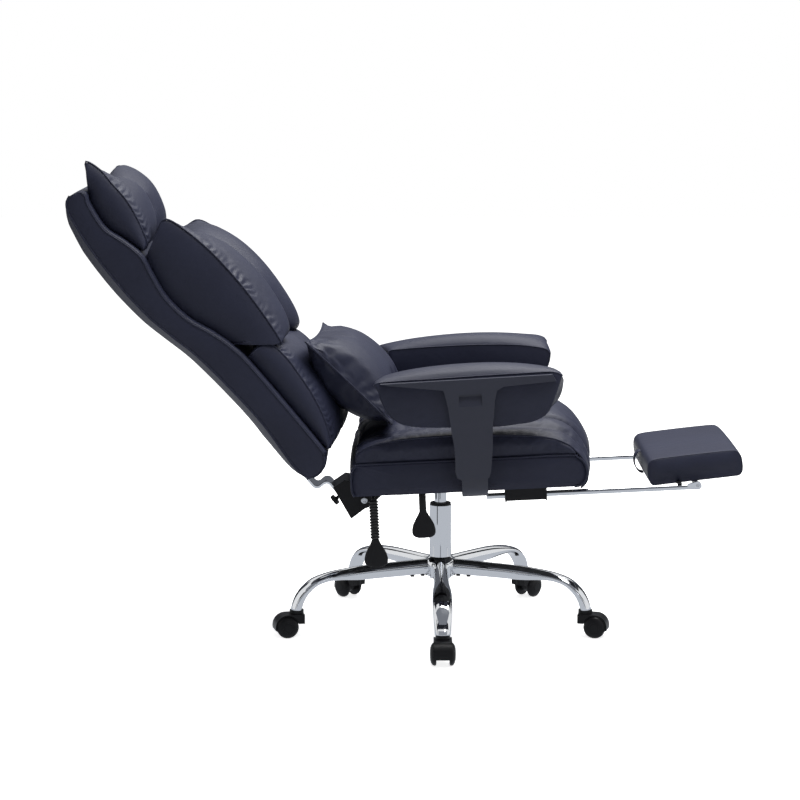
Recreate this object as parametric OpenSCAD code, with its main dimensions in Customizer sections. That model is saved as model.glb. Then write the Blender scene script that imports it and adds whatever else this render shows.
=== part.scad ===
// Reclining office chair with a slide-out footrest.
// Origin on the floor under the column axis, +X the way the sitter faces, +Y to the sitter's left, +Z up.
// The chair stands at its lowest height, with the back let down and the footrest pulled out.

/* [Star base] */
// Radius of the circle through the five caster stems
base_r = 343; // [300:1:400]
// Height of the leg axis at the hub
leg_axis_z = 140; // [125:1:160]
// Height of the leg end above the floor
leg_end_z = 62; // [58:0.5:66]
// Depth of a leg tube at the hub
leg_depth = 36; // [30:0.5:42]
// Widest width of a leg tube, over its bend
leg_width = 43; // [36:0.5:44]
// Distance from the column axis to a flat of the hub
hub_apothem = 30; // [29:0.5:33]
// Height of the hub block
hub_h = 40; // [36:1:44]

/* [Casters] */
// Radius of a caster wheel
wheel_r = 25; // [22:0.5:27]
// Width of one wheel of the pair
wheel_w = 14; // [12:0.5:18]
// Thickness of the web between the two wheels
web_t = 27; // [20:0.5:30]
// Distance of the axle behind the stem
trail = 24; // [20:0.5:28]
// Width of the hood over the wheels
hood_w = 40; // [34:1:44]
// Radius of the steel stem
stem_r = 5.5; // [4.5:0.1:6]
// Length of stem inside the leg
stem_len = 22; // [18:1:25]

/* [Column] */
// Outer radius of the column tube
column_r = 25; // [24:0.1:26]
// Wall of the column tube
column_wall = 2; // [1.5:0.1:2.5]
// Height of the column tube's lower end
column_low = 112; // [108:1:116]
// Height of the column tube's top edge
column_top = 283; // [275:1:288]
// Radius of the gas cylinder
gas_r = 14; // [12:0.5:15]
// Travel of the seat in height
lift = 90; // [60:5:100]
// Radius of the piston rod
piston_r = 5; // [4:0.5:6]
// Radius of the release button
button_r = 4; // [3:0.5:5]

/* [Seat] */
// Height of the seat's underside over the column axis
seat_z = 350; // [348:1:356]
// Rise of the seat toward the front, in degrees
seat_tilt = 2.75; // [2:0.25:3.5]
// Length of the seat
seat_len = 520; // [500:5:540]
// Half of the seat's width
seat_half = 255; // [250:1:262]
// Height of the lower upholstered box
seat_box_h = 78; // [70:1:84]
// Height of the crowned top cushion at its middle
seat_crown_h = 82; // [70:1:90]
// Thickness of the plywood board
board_t = 12; // [9:0.5:15]
// Depth of the hollow under the board
pocket_h = 14; // [13:0.5:16]

/* [Arms] */
// Distance of the post's outer face from the middle
arm_out = 325; // [320:1:335]
// Thickness of the moulded arm post
post_t = 14; // [10:0.5:16]
// Height of the arm pad's seam above the seat's underside
arm_h = 264; // [250:1:280]
// Length of the arm pad
arm_len = 392; // [360:2:410]
// Depth of the padded arm below its seam
arm_drop = 107; // [90:1:115]
// Width of the padded arm
arm_w = 88; // [75:1:92]
// Crown of the arm pad above its seam
arm_crown = 24; // [15:1:30]

/* [Back] */
// Distance of the recline pivot behind the column
pivot_x = 173.4; // [170:0.1:178]
// Height of the recline pivot
pivot_z = 303.4; // [300:0.1:306]
// Lean of the back from upright at rest, in degrees
lean = 40; // [38:0.5:42]
// Length of the back from its lower edge to its top
back_len = 800; // [760:5:840]
// Half of the back's width
back_half = 255; // [240:1:262]
// Height of the back's lower edge above the pivot, along the back
back_low = 138; // [136:1:150]
// Depth to which the back's outlines are drawn
back_deep = 100; // [90:1:110]
// Bulge of the rear panel at its middle
rear_bulge = 42; // [36:1:48]
// Half width of the three front cushions
cushion_half = 232; // [215:1:240]
// How far a cushion's end stands past its seam
cushion_end = 12; // [6:1:16]

/* [Pillow] */
// Length of the loose pillow across the chair
pillow_l = 400; // [360:5:430]
// Width of the loose pillow from corner to corner
pillow_w = 258; // [240:2:270]
// Thickness of the loose pillow
pillow_t = 117; // [90:1:122]

/* [Recline hinge] */
// Width of the flat chrome bar
bar_w = 75; // [60:1:80]
// Thickness of the flat chrome bar
bar_t = 6; // [5:0.5:7]
// Half of the hinge housing's width
housing_half = 52; // [48:1:54]
// Radius of the pivot bolt
bolt_r = 6; // [5:0.5:7]
// Thickness of the bracket's cheeks
cheek_t = 4; // [3:0.5:5]

/* [Footrest] */
// Distance of each rail from the middle
rail_y = 205; // [200:1:210]
// Radius of a rail
rail_r = 6.5; // [5.5:0.1:7]
// Depth of the rail axis below the seat's underside
rail_drop = 14; // [13.5:0.1:16]
// Rear end of a rail, pulled out
rail_back = 98; // [90:1:110]
// Distance of the footrest shaft in front of the column
shaft_x = 563; // [550:1:580]
// Radius of the footrest shaft
shaft_r = 4; // [3:0.5:4.5]
// Length of the footrest pad
foot_len = 212; // [200:1:216]
// Half of the footrest pad's width
foot_half = 180; // [160:1:184]
// Thickness of the footrest pad
foot_t = 57; // [45:1:60]
// Tilt of the footrest pad against the rails, in degrees
foot_tilt = 4; // [2:0.5:5]

/* [Levers] */
// Distance of the height lever's rod behind the column
height_x = 44; // [42:0.5:48]
// Distance of the recline lever's rod behind the column
recline_x = 151.5; // [149:0.5:156]
// Distance of both paddles from the middle
lever_y = 235; // [228:0.5:238]
// Radius of the lever rods
rod_r = 4; // [3:0.5:4.5]
// Height of the lever rods above the seat's underside
rod_up = 4; // [3.5:0.1:4.5]
// Width of a paddle
paddle_w = 52; // [40:1:56]
// Length of a paddle
paddle_l = 58; // [48:1:64]
// Thickness of a paddle
paddle_t = 9; // [6:0.5:12]
// Length of the rubber bellows
bellows_l = 86; // [70:1:90]
// Outer radius of the bellows
bellows_r = 10.5; // [9:0.5:12]
// Number of ribs on the bellows
bellows_ribs = 13; // [8:1:15]

/* [Hidden] */
$fn = 64;

// Clearances and overruns
fit = 0.05;
gap = 0.3;
over = 1;
full_turn = 360;
// Points added between two points of a soft outline
soft_steps = 2;

// Leg directions and how far each caster is turned from its leg
leg_angles = [270, 342, 54, 126, 198];
caster_turns = [0, 4, -6, 8, -4];

// Leg tube: distance from hub to stem, height between end and axis, depth, width
leg_shares = [
    [0, 1, 1, 0.75], [0.29, 0.975, 0.95, 0.77], [0.51, 0.945, 0.9, 0.84], [0.67, 0.93, 0.66, 0.95],
    [0.78, 0.88, 0.53, 1], [0.88, 0.75, 0.55, 1], [0.95, 0.53, 0.6, 0.95], [0.995, 0.24, 0.64, 0.88],
    [1.005, 0, 0.67, 0.84]
];
leg_sides = 12;
lug_l = 52;
lug_w = 20;
lug_h = 18;
screw_r = 2.5;
screw_head_r = 5;
screw_head_h = 3;
screw_seat = 0.6;
screw_grip = 6;
screw_shares = [0.25, 0.72];

// Caster
hood_gap = 1.2;
hood_wall = 2;
hood_r = wheel_r + hood_gap + hood_wall;
hood_back = 15;
hood_low = 32;
hood_tail = 18;
hood_top = wheel_r + hood_r;
swivel_gap = 0.5;
boss_r = 16;
boss_top = leg_end_z - swivel_gap;
web_r = 14;
axle_r = 3;
wheel_gap = 0.6;
wheel_edge = 5;
cap_r = 18;
cap_groove = 1.5;
axle_out = 2;
axle_half = web_t / 2 + wheel_gap + wheel_w - axle_out;

// Column
bore_r = column_r - column_wall;
floor_t = 3;
bearing_h = 6;
bearing_low = column_low + floor_t + fit;
bearing_r = 18;
flange_r = 9;
flange_h = 4;
bush_l = 95;
collar_h = 5;
collar_r = 24;
gas_foot_room = 5;
gas_low = column_low + floor_t + bearing_h + flange_h + gas_foot_room;
gas_inset = 20;
gas_top = seat_z - gas_inset;
rod_grip = 15;
piston_top = gas_low + lift + rod_grip;
piston_room = 5;
cone_h = 12;
cone_step = 1;
cone_r = gas_r - cone_step;
button_up = 6;
button_len = 18;
button_room = 7;

// Seat frame
tilt_sin = sin(seat_tilt);
// Seat box outline, in shares of its length and height: the rear edge from below, then the front edge from
// above, at its sides and at its middle
box_side_back_shares = [[-0.369, 0.1], [-0.377, 0.22], [-0.379, 0.5], [-0.375, 0.82], [-0.358, 1]];
box_side_front_shares = [[0.546, 1], [0.585, 0.9], [0.606, 0.7], [0.61, 0.46], [0.599, 0.26], [0.56, 0.1]];
box_mid_back_shares = [[-0.384, 0.1], [-0.396, 0.22], [-0.398, 0.5], [-0.392, 0.82], [-0.366, 1]];
box_mid_front_shares = [[0.577, 1], [0.62, 0.9], [0.637, 0.7], [0.646, 0.46], [0.638, 0.24], [0.575, 0.1]];
// Top cushion outline over the box, from the rear edge round to the front edge
top_side_shares = [
    [-0.35, 0], [-0.352, 0.2], [-0.336, 0.34], [-0.262, 0.52], [-0.148, 0.62], [0, 0.65], [0.15, 0.64],
    [0.29, 0.6], [0.4, 0.54], [0.48, 0.44], [0.54, 0.27], [0.565, 0.1], [0.566, 0]
];
top_mid_shares = [
    [-0.356, 0], [-0.36, 0.16], [-0.336, 0.34], [-0.275, 0.5], [-0.17, 0.64], [0, 0.8], [0.15, 0.92],
    [0.29, 1], [0.42, 1], [0.508, 0.94], [0.575, 0.68], [0.612, 0.34], [0.618, 0]
];
top_channel_share = 0.16;
channel_at_share = 0.56;
crown_power = 2.5;
// The seat's rear edge keeps its place over the recline pivot, so a longer seat grows forward
seat_overhang = 23.68;
box_back = pivot_x + seat_overhang;
seat_shift = -box_side_back_shares[2][0] * seat_len - box_back;
box_front = box_side_front_shares[3][0] * seat_len + seat_shift;
box_low = box_side_back_shares[0][1] * seat_box_h;
board_back_inset = 12;
board_front_inset = 27;
board_side_inset = 15;
board_back = box_back - board_back_inset;
board_front = box_front - board_front_inset;
board_half = seat_half - board_side_inset;
batten_back = 20;
notch_step = 3.4;
notch_front = pivot_x - notch_step;
notch_side = 5;
notch_half = housing_half + notch_side;
notch_up = 31;
seat_stations = [
    -1, -0.97, -0.88, -0.72, -0.6, -0.56, -0.52, -0.38, -0.2, 0,
    0.2, 0.38, 0.52, 0.56, 0.6, 0.72, 0.88, 0.97, 1
];
box_stations = [-1, -0.97, -0.8, -0.45, 0, 0.45, 0.8, 0.97, 1];
box_end_share = 0.985;

// Arm pad outline round from the rear top: length over the column, height from seam down
arm_shares = [
    [-0.335, 0], [-0.3, 0.01], [0, 0], [0.306, 0.02], [0.63, 0.05], [0.695, 0.02], [0.684, -0.16],
    [0.648, -0.5], [0.6, -0.79], [0.526, -0.93], [0.286, -1], [-0.112, -0.94], [-0.235, -0.79],
    [-0.292, -0.5], [-0.318, -0.18]
];
arm_top_shares = [0.2, 0.6, 1, 1, 0.5, 0, 0, 0, 0, 0, 0, 0, 0, 0, 0];
// Across the pad: place, share of the crown, share of the outline's size, share of its length moved forward
arm_station_shares = [
    [0, 0, 0.985, 0], [0.05, 0.3, 1.005, 0], [0.15, 0.62, 1.01, 0.002], [0.35, 0.93, 1, 0.01],
    [0.58, 1, 0.985, 0.02], [0.78, 0.8, 0.97, 0.035], [0.92, 0.42, 0.95, 0.044], [1, 0, 0.9, 0.046]
];
post_bend = 50;
// Arm post outline: its top band and front edge down to the foot, then its rear edge back up
post_front_shares = [
    [-0.312, 0.995], [0.63, 1.01], [0.65, 0.955], [0.36, 0.93], [0.324, 0.9], [0.31, 0.82], [0.302, 0.71],
    [0.293, 0.62], [0.286, 0.42], [0.278, 0.31], [0.272, 0.235], [0.263, 0.192], [0.252, 0.178]
];
post_rear_shares = [
    [0.11, 0.17], [0.102, 0.18], [0.086, 0.192], [0.076, 0.24], [0.078, 0.31], [0.077, 0.44], [0.066, 0.56],
    [0.06, 0.655], [0.051, 0.775], [0.042, 0.845], [0.03, 0.92], [-0.27, 0.98]
];
foot_plate_t = 6;
foot_low = box_low - foot_plate_t;
foot_x0 = post_rear_shares[0][0] * arm_len;
foot_x1 = post_front_shares[12][0] * arm_len;
foot_in = 215;
slot_shift = 2;
slot_w = 49;
slot_h = 26;
slot_face = 5;
slot_deep = 6;
slot_x = (foot_x0 + foot_x1) / 2 - slot_shift;
slot_drop = 32;
slot_top = arm_h - slot_drop;
arm_bolt_in = 13;
arm_bolt_r = 3;
arm_bolt_head_r = 6;
arm_bolt_head_h = 3;
arm_bolt_len = 22;
arm_screw_len = 20;
arm_screw_skin = 4;
arm_bolt_shares = [0.22, 0.68];
arm_screw_x_shares = [0.1, 0.27];
arm_screw_drop = 50;
arm_screw_z = arm_h - arm_screw_drop;

// Back outlines: depth over the length, from the pivot along the back
// Front face of the shell from the lower edge to the top
front_shares = [
    [0.03, 0.32], [0.33, 0.34], [0.415, 0.28], [0.48, 0.14], [0.55, -0.06], [0.63, -0.12], [0.7, -0.03],
    [0.76, 0.07], [0.82, -0.02], [0.88, -0.15], [0.96, -0.05], [0.978, 0.04]
];
// Piping line between the side panel and the rear panel, from the top down
piping_shares = [
    [0.985, -0.44], [0.93, -0.62], [0.8, -0.74], [0.62, -0.71], [0.43, -0.44], [0.22, -0.34],
    [0.06, -0.43], [0.012, -0.37]
];
shell_top_shares = [[0.993, -0.03], [1.002, -0.22], [0.998, -0.38]];
panel_edge = 5;
// Share of the rear panel's bulge from its top edge to its lower edge
panel_end_shares = [[0, 0.5], [0.07, 0.95], [0.15, 1.1], [0.3, 1.1], [0.5, 1], [0.85, 1], [1, 0.7]];
panel_stations = [-1, -0.9, -0.7, -0.45, 0, 0.45, 0.7, 0.9, 1];

// Cushion outlines along the back, front points only: at the end seam, at the crest of a lobe, in the middle
lumbar_foot_share = 0.04;
lumbar_head_share = 0.362;
lumbar_seam_shares = [
    [0.03, 0.45], [0.09, 0.72], [0.17, 0.86], [0.235, 0.92], [0.29, 0.94], [0.33, 0.86], [0.356, 0.62]
];
lumbar_lobe_shares = [
    [0.034, 0.6], [0.075, 0.87], [0.15, 1.06], [0.225, 1.14], [0.29, 1.13], [0.335, 1], [0.36, 0.7]
];
lumbar_mid_shares = [
    [0.034, 0.6], [0.075, 0.88], [0.15, 1.08], [0.225, 1.17], [0.29, 1.16], [0.335, 1.03], [0.36, 0.71]
];
shoulder_foot_share = 0.415;
shoulder_head_share = 0.747;
shoulder_seam_shares = [
    [0.392, 0.5], [0.367, 0.8], [0.338, 0.98], [0.334, 1.07], [0.36, 1.15], [0.436, 1.22],
    [0.531, 1.25], [0.641, 1.22], [0.725, 1.09], [0.77, 0.92], [0.772, 0.68], [0.759, 0.38]
];
shoulder_lobe_shares = [
    [0.385, 0.5], [0.362, 0.84], [0.332, 1.08], [0.338, 1.25], [0.375, 1.38], [0.45, 1.46],
    [0.531, 1.48], [0.615, 1.43], [0.68, 1.28], [0.722, 1.05], [0.735, 0.72], [0.744, 0.36]
];
shoulder_mid_shares = [
    [0.396, 0.36], [0.386, 0.5], [0.378, 0.66], [0.376, 0.8], [0.392, 0.9], [0.45, 0.97],
    [0.531, 0.99], [0.61, 0.96], [0.67, 0.86], [0.705, 0.7], [0.722, 0.5], [0.735, 0.28]
];
head_foot_share = 0.77;
head_head_share = 0.978;
head_seam_shares = [
    [0.772, 0.24], [0.803, 0.36], [0.86, 0.5], [0.908, 0.54], [0.954, 0.52], [0.995, 0.5], [1.022, 0.4],
    [0.995, 0.18]
];
head_lobe_shares = [
    [0.774, 0.32], [0.81, 0.54], [0.86, 0.7], [0.905, 0.75], [0.945, 0.72], [0.978, 0.6], [0.99, 0.42],
    [0.985, 0.16]
];
head_mid_shares = [
    [0.776, 0.24], [0.806, 0.36], [0.85, 0.48], [0.89, 0.5], [0.925, 0.48], [0.955, 0.4], [0.974, 0.28],
    [0.982, 0.13]
];
lobe_at_share = 0.5;
tuck_share = 0.45;
lobe_stations = [
    -1, -0.96, -0.87, -0.72, -0.5, -0.3, -0.16, -0.06, 0, 0.06, 0.16, 0.3, 0.5, 0.72, 0.87, 0.96, 1
];

// Pillow
pillow_pos_shares = [1.655, 0.1275];
pillow_turn = -1.5;
pillow_stations = [-1, -0.94, -0.8, -0.55, -0.28, 0, 0.28, 0.55, 0.8, 0.94, 1];
pillow_sides = 20;
pillow_edge_share = 0.04;
pillow_draw_share = 0.07;
pillow_power = 5;

// Recline hinge: housing outline over the pivot, in bar widths
housing_shares = [[-0.69, -0.2], [-0.49, 0.88], [-0.08, 0.84], [0.16, 0.56], [0.16, -0.24]];
cheek_shares = [[-0.12, -0.32], [0.14, -0.22], [0.5, 0.12], [0.78, 0.6]];
cheek_top_shares = [-0.12, 0.62];
bar_in = 35;
bar_step = 32;
bar_bend_r = 9;
bar_cross = 89;
bar_foot = 2;
bar_head = 225;
bar_hole_r = 4;
bar_hole_shares = [0.3, 0.78];
bolt_head_r = 10;
bolt_head_h = 5;
knob_r = 12;
knob_lobe_r = 4.5;
knob_lobes = 6;
knob_h = 9;
knob_up = 36;
knob_stud_r = 4;
knob_stud_l = 14;
housing_gap = 1.3;
mech_back = 112;
mech_front = 80;
mech_half = 70;
mech_low = 28;
mech_nose = 12;
socket_r = 22;
socket_low = 36;
socket_root = 5;
room_x0 = 56;
room_x1 = 20;
room_y0 = 50;
room_y1 = 12;
rod_end_y = 34;
bridge_t = 5;
bridge_front = mech_back + gap;

// Footrest
eye_r = 9;
eye_run = 24;
eye_in = 1.2;
eye_t = 6;
eye_up = 2;
guide_foot_gap = 39;
guide_setback = 60.2;
guide_back = foot_x1 + guide_foot_gap;
guide_front = board_front - guide_setback;
guide_in = 14;
guide_out = 17;
guide_low = 24;
guide_lip = 3;
ear_t = 4;
ear_y = 150;
ear_r = 6.5;
tray_t = 2;
tray_back = 90;
tray_front = 80;
tray_half = 165;
tray_up = 5;
stop_back = 44;
stop_l = 10;
foot_back_share = 0.495;
foot_shares = [
    [0, 0.45], [0.02, 0.75], [0.09, 0.95], [0.3, 1], [0.7, 1], [0.92, 0.95], [0.985, 0.78], [1, 0.45],
    [0.985, 0.14], [0.93, 0], [0.5, 0], [0.09, 0], [0.02, 0.12]
];
foot_station_shares = [[-1, 0.9], [-0.96, 0.98], [-0.8, 1], [0, 1.04], [0.8, 1], [0.96, 0.98], [1, 0.9]];

// Levers
bend_r = 10;
arm_wide = 10;
arm_thick = 4;
rod_tip = 12;
stem_w = 15;
height_stem = 30;
recline_stem = 4;
bellows_play = 0.4;
bellows_bore = rod_r + bellows_play;
bellows_valley = 8;
// Rib outline from its top: outer or inner radius, share of the pitch
rib_shares = [[0, 1], [1, 0.75], [1, 0.4], [0, 0.15]];
paddle_shares = [[0.14, 0], [0.2, 0.12], [0.4, 0.3], [0.5, 0.55], [0.46, 0.78], [0.3, 0.94], [0, 1]];

function ring_mid(ring) = [for (k = [0:2]) ([for (p = ring) 1] * [for (p = ring) p[k]]) / len(ring)];
function at_y(ring, y) = [for (p = ring) [p[0], y, p[1]]];
function mix(a, b, k) = [for (i = [0:len(a) - 1]) a[i] + k * (b[i] - a[i])];
function sized(shares, l, h) = [for (p = shares) [p[0] * l, p[1] * h]];
function along_back(p) = [p[1] * back_deep, back_low + p[0] * back_len];
function soft(list) = [
    for (i = [0:len(list) - 2]) for (s = [0:soft_steps - 1]) bow(list, i, s / soft_steps),
    list[len(list) - 1]
];
// Point between two points of a list, on the curve that runs through all of them
function bow(list, i, t) =
    let (a = list[max(i - 1, 0)], b = list[i], c = list[i + 1], d = list[min(i + 2, len(list) - 1)])
    0.5 * (2 * b + (c - a) * t + (2 * a - 5 * b + 4 * c - d) * t * t + (3 * b - a - 3 * c + d) * t * t * t);
front_line_shares = soft(front_shares);
piping_line_shares = soft(piping_shares);
function front_at(u) = lookup(u, front_line_shares) * back_deep;

// Closed skin through rings of equal point counts, each turning the same way, with flat ends
module loft(rings) {
    n = len(rings[0]);
    last = (len(rings) - 1) * n;
    sides = [
        for (i = [0:len(rings) - 2]) for (j = [0:n - 1])
        let (a = i * n + j, b = i * n + (j + 1) % n)
        each [[a, b, b + n], [a, b + n, a + n]]
    ];
    lids = [[for (j = [n - 1:-1:0]) j], [for (j = [0:n - 1]) last + j]];
    polyhedron(points = [for (ring = rings) each ring], faces = concat(sides, lids));
}

module in_seat() { translate([0, 0, seat_z]) rotate([0, -seat_tilt, 0]) children(); }
module in_back() { translate([-pivot_x, 0, pivot_z]) rotate([0, -lean, 0]) children(); }
module in_caster(i) {
    rotate([0, 0, leg_angles[i]]) translate([base_r, 0, 0]) rotate([0, 0, caster_turns[i]]) children();
}
module across(w) { rotate([90, 0, 0]) linear_extrude(w, center = true) children(); }
module cylinder_on(r, z0, z1) { translate([0, 0, z0]) cylinder(r = r, h = z1 - z0); }
module both_sides() {
    children();
    mirror([0, 1, 0]) children();
}

// Star base
leg_rows_shares = soft(leg_shares);
function leg_axis(row) = [
    hub_apothem + fit + row[0] * (base_r - hub_apothem), leg_end_z + row[1] * (leg_axis_z - leg_end_z)
];
function leg_ring(p, turn, h, w) = [
    for (k = [0:leg_sides - 1])
    let (a = k * full_turn / leg_sides, n = h / 2 * cos(a))
    [p[0] - n * sin(turn), w / 2 * sin(a), p[1] + n * cos(turn)]
];
module leg_body() {
    rows = leg_rows_shares;
    last = len(rows) - 1;
    loft([
        for (i = [0:last])
        let (
            p = leg_axis(rows[i]), a = leg_axis(rows[max(i - 1, 0)]), b = leg_axis(rows[min(i + 1, last)]),
            turn = i == 0 ? 0 : i == last ? -90 : atan2(b[1] - a[1], b[0] - a[0])
        )
        leg_ring(p, turn, rows[i][2] * leg_depth, rows[i][3] * leg_width)
    ]);
}
module base_leg(i) {
    color("silver") rotate([0, 0, leg_angles[i]]) difference() {
        leg_body();
        translate([hub_apothem - over, -lug_w / 2 - fit, leg_axis_z - lug_h / 2 - fit])
            cube([lug_l + over + fit, lug_w + 2 * fit, lug_h + 2 * fit]);
        translate([base_r, 0, 0]) cylinder_on(stem_r + fit, leg_end_z - over, leg_end_z + stem_len);
        for (s = screw_shares)
            translate([hub_apothem + s * lug_l, 0, 0])
                cylinder_on(screw_r + fit, leg_axis_z - leg_depth, leg_axis_z);
    }
}
module base_hub() {
    half_turn = full_turn / len(leg_angles) / 2;
    color("silver") difference() {
        union() {
            translate([0, 0, leg_axis_z - hub_h / 2]) linear_extrude(hub_h) polygon([
                for (a = leg_angles) hub_apothem / cos(half_turn) * [cos(a + half_turn), sin(a + half_turn)]
            ]);
            for (a = leg_angles)
                rotate([0, 0, a]) translate([0, -lug_w / 2, leg_axis_z - lug_h / 2])
                    cube([hub_apothem + lug_l, lug_w, lug_h]);
        }
        cylinder_on(column_r + fit, leg_axis_z - hub_h, leg_axis_z + hub_h);
        for (a = leg_angles) for (s = screw_shares)
            rotate([0, 0, a]) translate([hub_apothem + s * lug_l, 0, leg_axis_z - lug_h / 2])
                cylinder_on(screw_r + fit, -over, screw_grip + gap);
    }
}
module leg_screws() {
    color("dimgray") for (a = leg_angles) for (s = screw_shares)
        rotate([0, 0, a]) translate([hub_apothem + s * lug_l, 0, leg_axis_z - leg_depth / 2]) {
            cylinder_on(screw_head_r, -screw_seat - screw_head_h, -screw_seat);
            cylinder_on(screw_r, -screw_seat - fit, (leg_depth - lug_h) / 2 + screw_grip);
        }
}

// Column
module column_tube() {
    color("silver") difference() {
        cylinder_on(column_r, column_low, column_top);
        cylinder_on(bore_r, column_low + floor_t, column_top + over);
        cylinder_on(piston_r + fit, column_low - over, column_low + floor_t + over);
    }
}
module column_bush() {
    color("black") difference() {
        union() {
            cylinder_on(bore_r - fit, column_top - bush_l, column_top);
            cylinder_on(collar_r, column_top, column_top + collar_h);
        }
        cylinder_on(gas_r + fit, column_top - bush_l - over, column_top + collar_h + over);
    }
}
module thrust_bearing() {
    color("gray") difference() {
        cylinder_on(bearing_r, bearing_low, bearing_low + bearing_h);
        cylinder_on(piston_r + fit, bearing_low - over, bearing_low + bearing_h + over);
    }
}
module piston_rod() {
    color("lightgray") {
        cylinder_on(piston_r, column_low, piston_top);
        cylinder_on(flange_r, bearing_low + bearing_h + fit, bearing_low + bearing_h + fit + flange_h);
    }
}
module gas_cylinder() {
    color("silver") difference() {
        union() {
            cylinder_on(gas_r, gas_low, gas_top - cone_h);
            translate([0, 0, gas_top - cone_h]) cylinder(r1 = gas_r, r2 = cone_r, h = cone_h);
        }
        cylinder_on(piston_r + fit, gas_low - over, piston_top + piston_room);
        cylinder_on(button_r + fit, gas_top + button_up - button_len - button_room, gas_top + over);
    }
}
module release_button() {
    color("black") cylinder_on(button_r, gas_top + button_up - button_len, gas_top + button_up);
}

// Casters
module caster_fork(i) {
    color("#1c1c20") in_caster(i) {
        difference() {
            union() {
                across(hood_w) difference() {
                    union() {
                        translate([trail, wheel_r]) circle(hood_r);
                        translate([-hood_back, hood_low]) square([trail + hood_back, hood_top - hood_low]);
                    }
                    translate([-2 * hood_r, 0]) square([2 * hood_r + trail, hood_low]);
                    translate([0, -hood_r]) square([3 * hood_r, hood_r + hood_tail]);
                }
                cylinder_on(boss_r, hood_low, boss_top);
            }
            for (s = [-1, 1]) translate([trail, s * (web_t + hood_w) / 2, wheel_r]) across(hood_w)
                circle(wheel_r + hood_gap);
            translate([trail, 0, wheel_r]) across(hood_w) circle(axle_r + fit);
        }
        difference() {
            across(web_t) {
                translate([trail, wheel_r]) circle(web_r);
                translate([trail - web_r, wheel_r]) square([2 * web_r, hood_low + over - wheel_r]);
            }
            translate([trail, 0, wheel_r]) across(hood_w) circle(axle_r + fit);
        }
        cylinder_on(stem_r, boss_top - over, boss_top + stem_len - over);
    }
}
module caster_axle(i) {
    color("silver") in_caster(i) translate([trail, 0, wheel_r]) across(2 * axle_half) circle(axle_r);
}
module wheel_half() {
    face = wheel_w - wheel_edge;
    rotate([-90, 0, 0]) translate([0, 0, web_t / 2 + wheel_gap]) difference() {
        rotate_extrude() difference() {
            union() {
                square([wheel_r - wheel_edge, wheel_w]);
                translate([0, wheel_edge / 2]) square([wheel_r, face - wheel_edge / 2]);
                translate([wheel_r - wheel_edge, face]) circle(wheel_edge);
                translate([wheel_r - wheel_edge / 2, wheel_edge / 2]) circle(wheel_edge / 2);
                square([wheel_r - wheel_edge / 2, wheel_edge]);
            }
            translate([cap_r, wheel_w - cap_groove]) square([cap_groove, cap_groove + over]);
        }
        cylinder_on(axle_r + fit, -over, wheel_w - axle_out);
    }
}
module caster_wheels(i) {
    color("#16161a") in_caster(i) translate([trail, 0, wheel_r]) both_sides() wheel_half();
}

// Seat
module seat_loft(side, mid, stations, channel) {
    loft([
        for (t = stations)
        let (
            dip = abs(abs(t) - channel_at_share) < fit / 2 ? channel : 0,
            end = abs(t) == 1 ? box_end_share : 1,
            centre = ring_mid(at_y(side, 0)),
            low = min([for (p = side) p[1]]),
            flat = mix(side, mid, 1 - pow(abs(t), crown_power) - dip)
        )
        at_y([for (p = flat) [centre[0] + (p[0] - centre[0]) * end, low + (p[1] - low) * end]],
            -t * seat_half)
    ]);
}
function along_seat(shares, h) = [for (p = soft(shares)) [p[0] * seat_len + seat_shift, p[1] * h]];
function box_ring(back, front) = concat(along_seat(back, seat_box_h), along_seat(front, seat_box_h));
module seat_board() {
    color("burlywood") in_seat() difference() {
        union() {
            translate([-board_back, -board_half, pocket_h])
                cube([board_back + board_front, 2 * board_half, board_t]);
            translate([batten_back, -board_half, box_low])
                cube([board_front - batten_back, 2 * board_half, pocket_h - box_low + over]);
        }
        translate([batten_back - over, -mech_half - gap, -over])
            cube([mech_front + gap + over - batten_back, 2 * (mech_half + gap), pocket_h + over]);
        translate([-board_back - over, -notch_half, 0])
            cube([board_back + over - notch_front, 2 * notch_half, notch_up + over]);
        both_sides() for (x = arm_bolt_shares)
            translate([foot_x0 + x * (foot_x1 - foot_x0), foot_in + arm_bolt_in, 0])
                cylinder_on(arm_bolt_r + fit, -over, foot_low + arm_bolt_len + gap);
    }
}
module seat_box() {
    color("#24242e") in_seat() difference() {
        seat_loft(box_ring(box_side_back_shares, box_side_front_shares),
            box_ring(box_mid_back_shares, box_mid_front_shares), box_stations, 0);
        translate([-board_back - gap, -board_half - gap, -over]) cube([
            board_back + board_front + 2 * gap, 2 * (board_half + gap), pocket_h + board_t + gap + over
        ]);
        translate([-seat_len, -notch_half, -over])
            cube([seat_len - notch_front, 2 * notch_half, notch_up + over]);
    }
}
module seat_cushion() {
    color("#2b2b36") in_seat() translate([0, 0, seat_box_h + gap])
        seat_loft(along_seat(top_side_shares, seat_crown_h), along_seat(top_mid_shares, seat_crown_h),
            seat_stations, top_channel_share);
}

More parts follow.
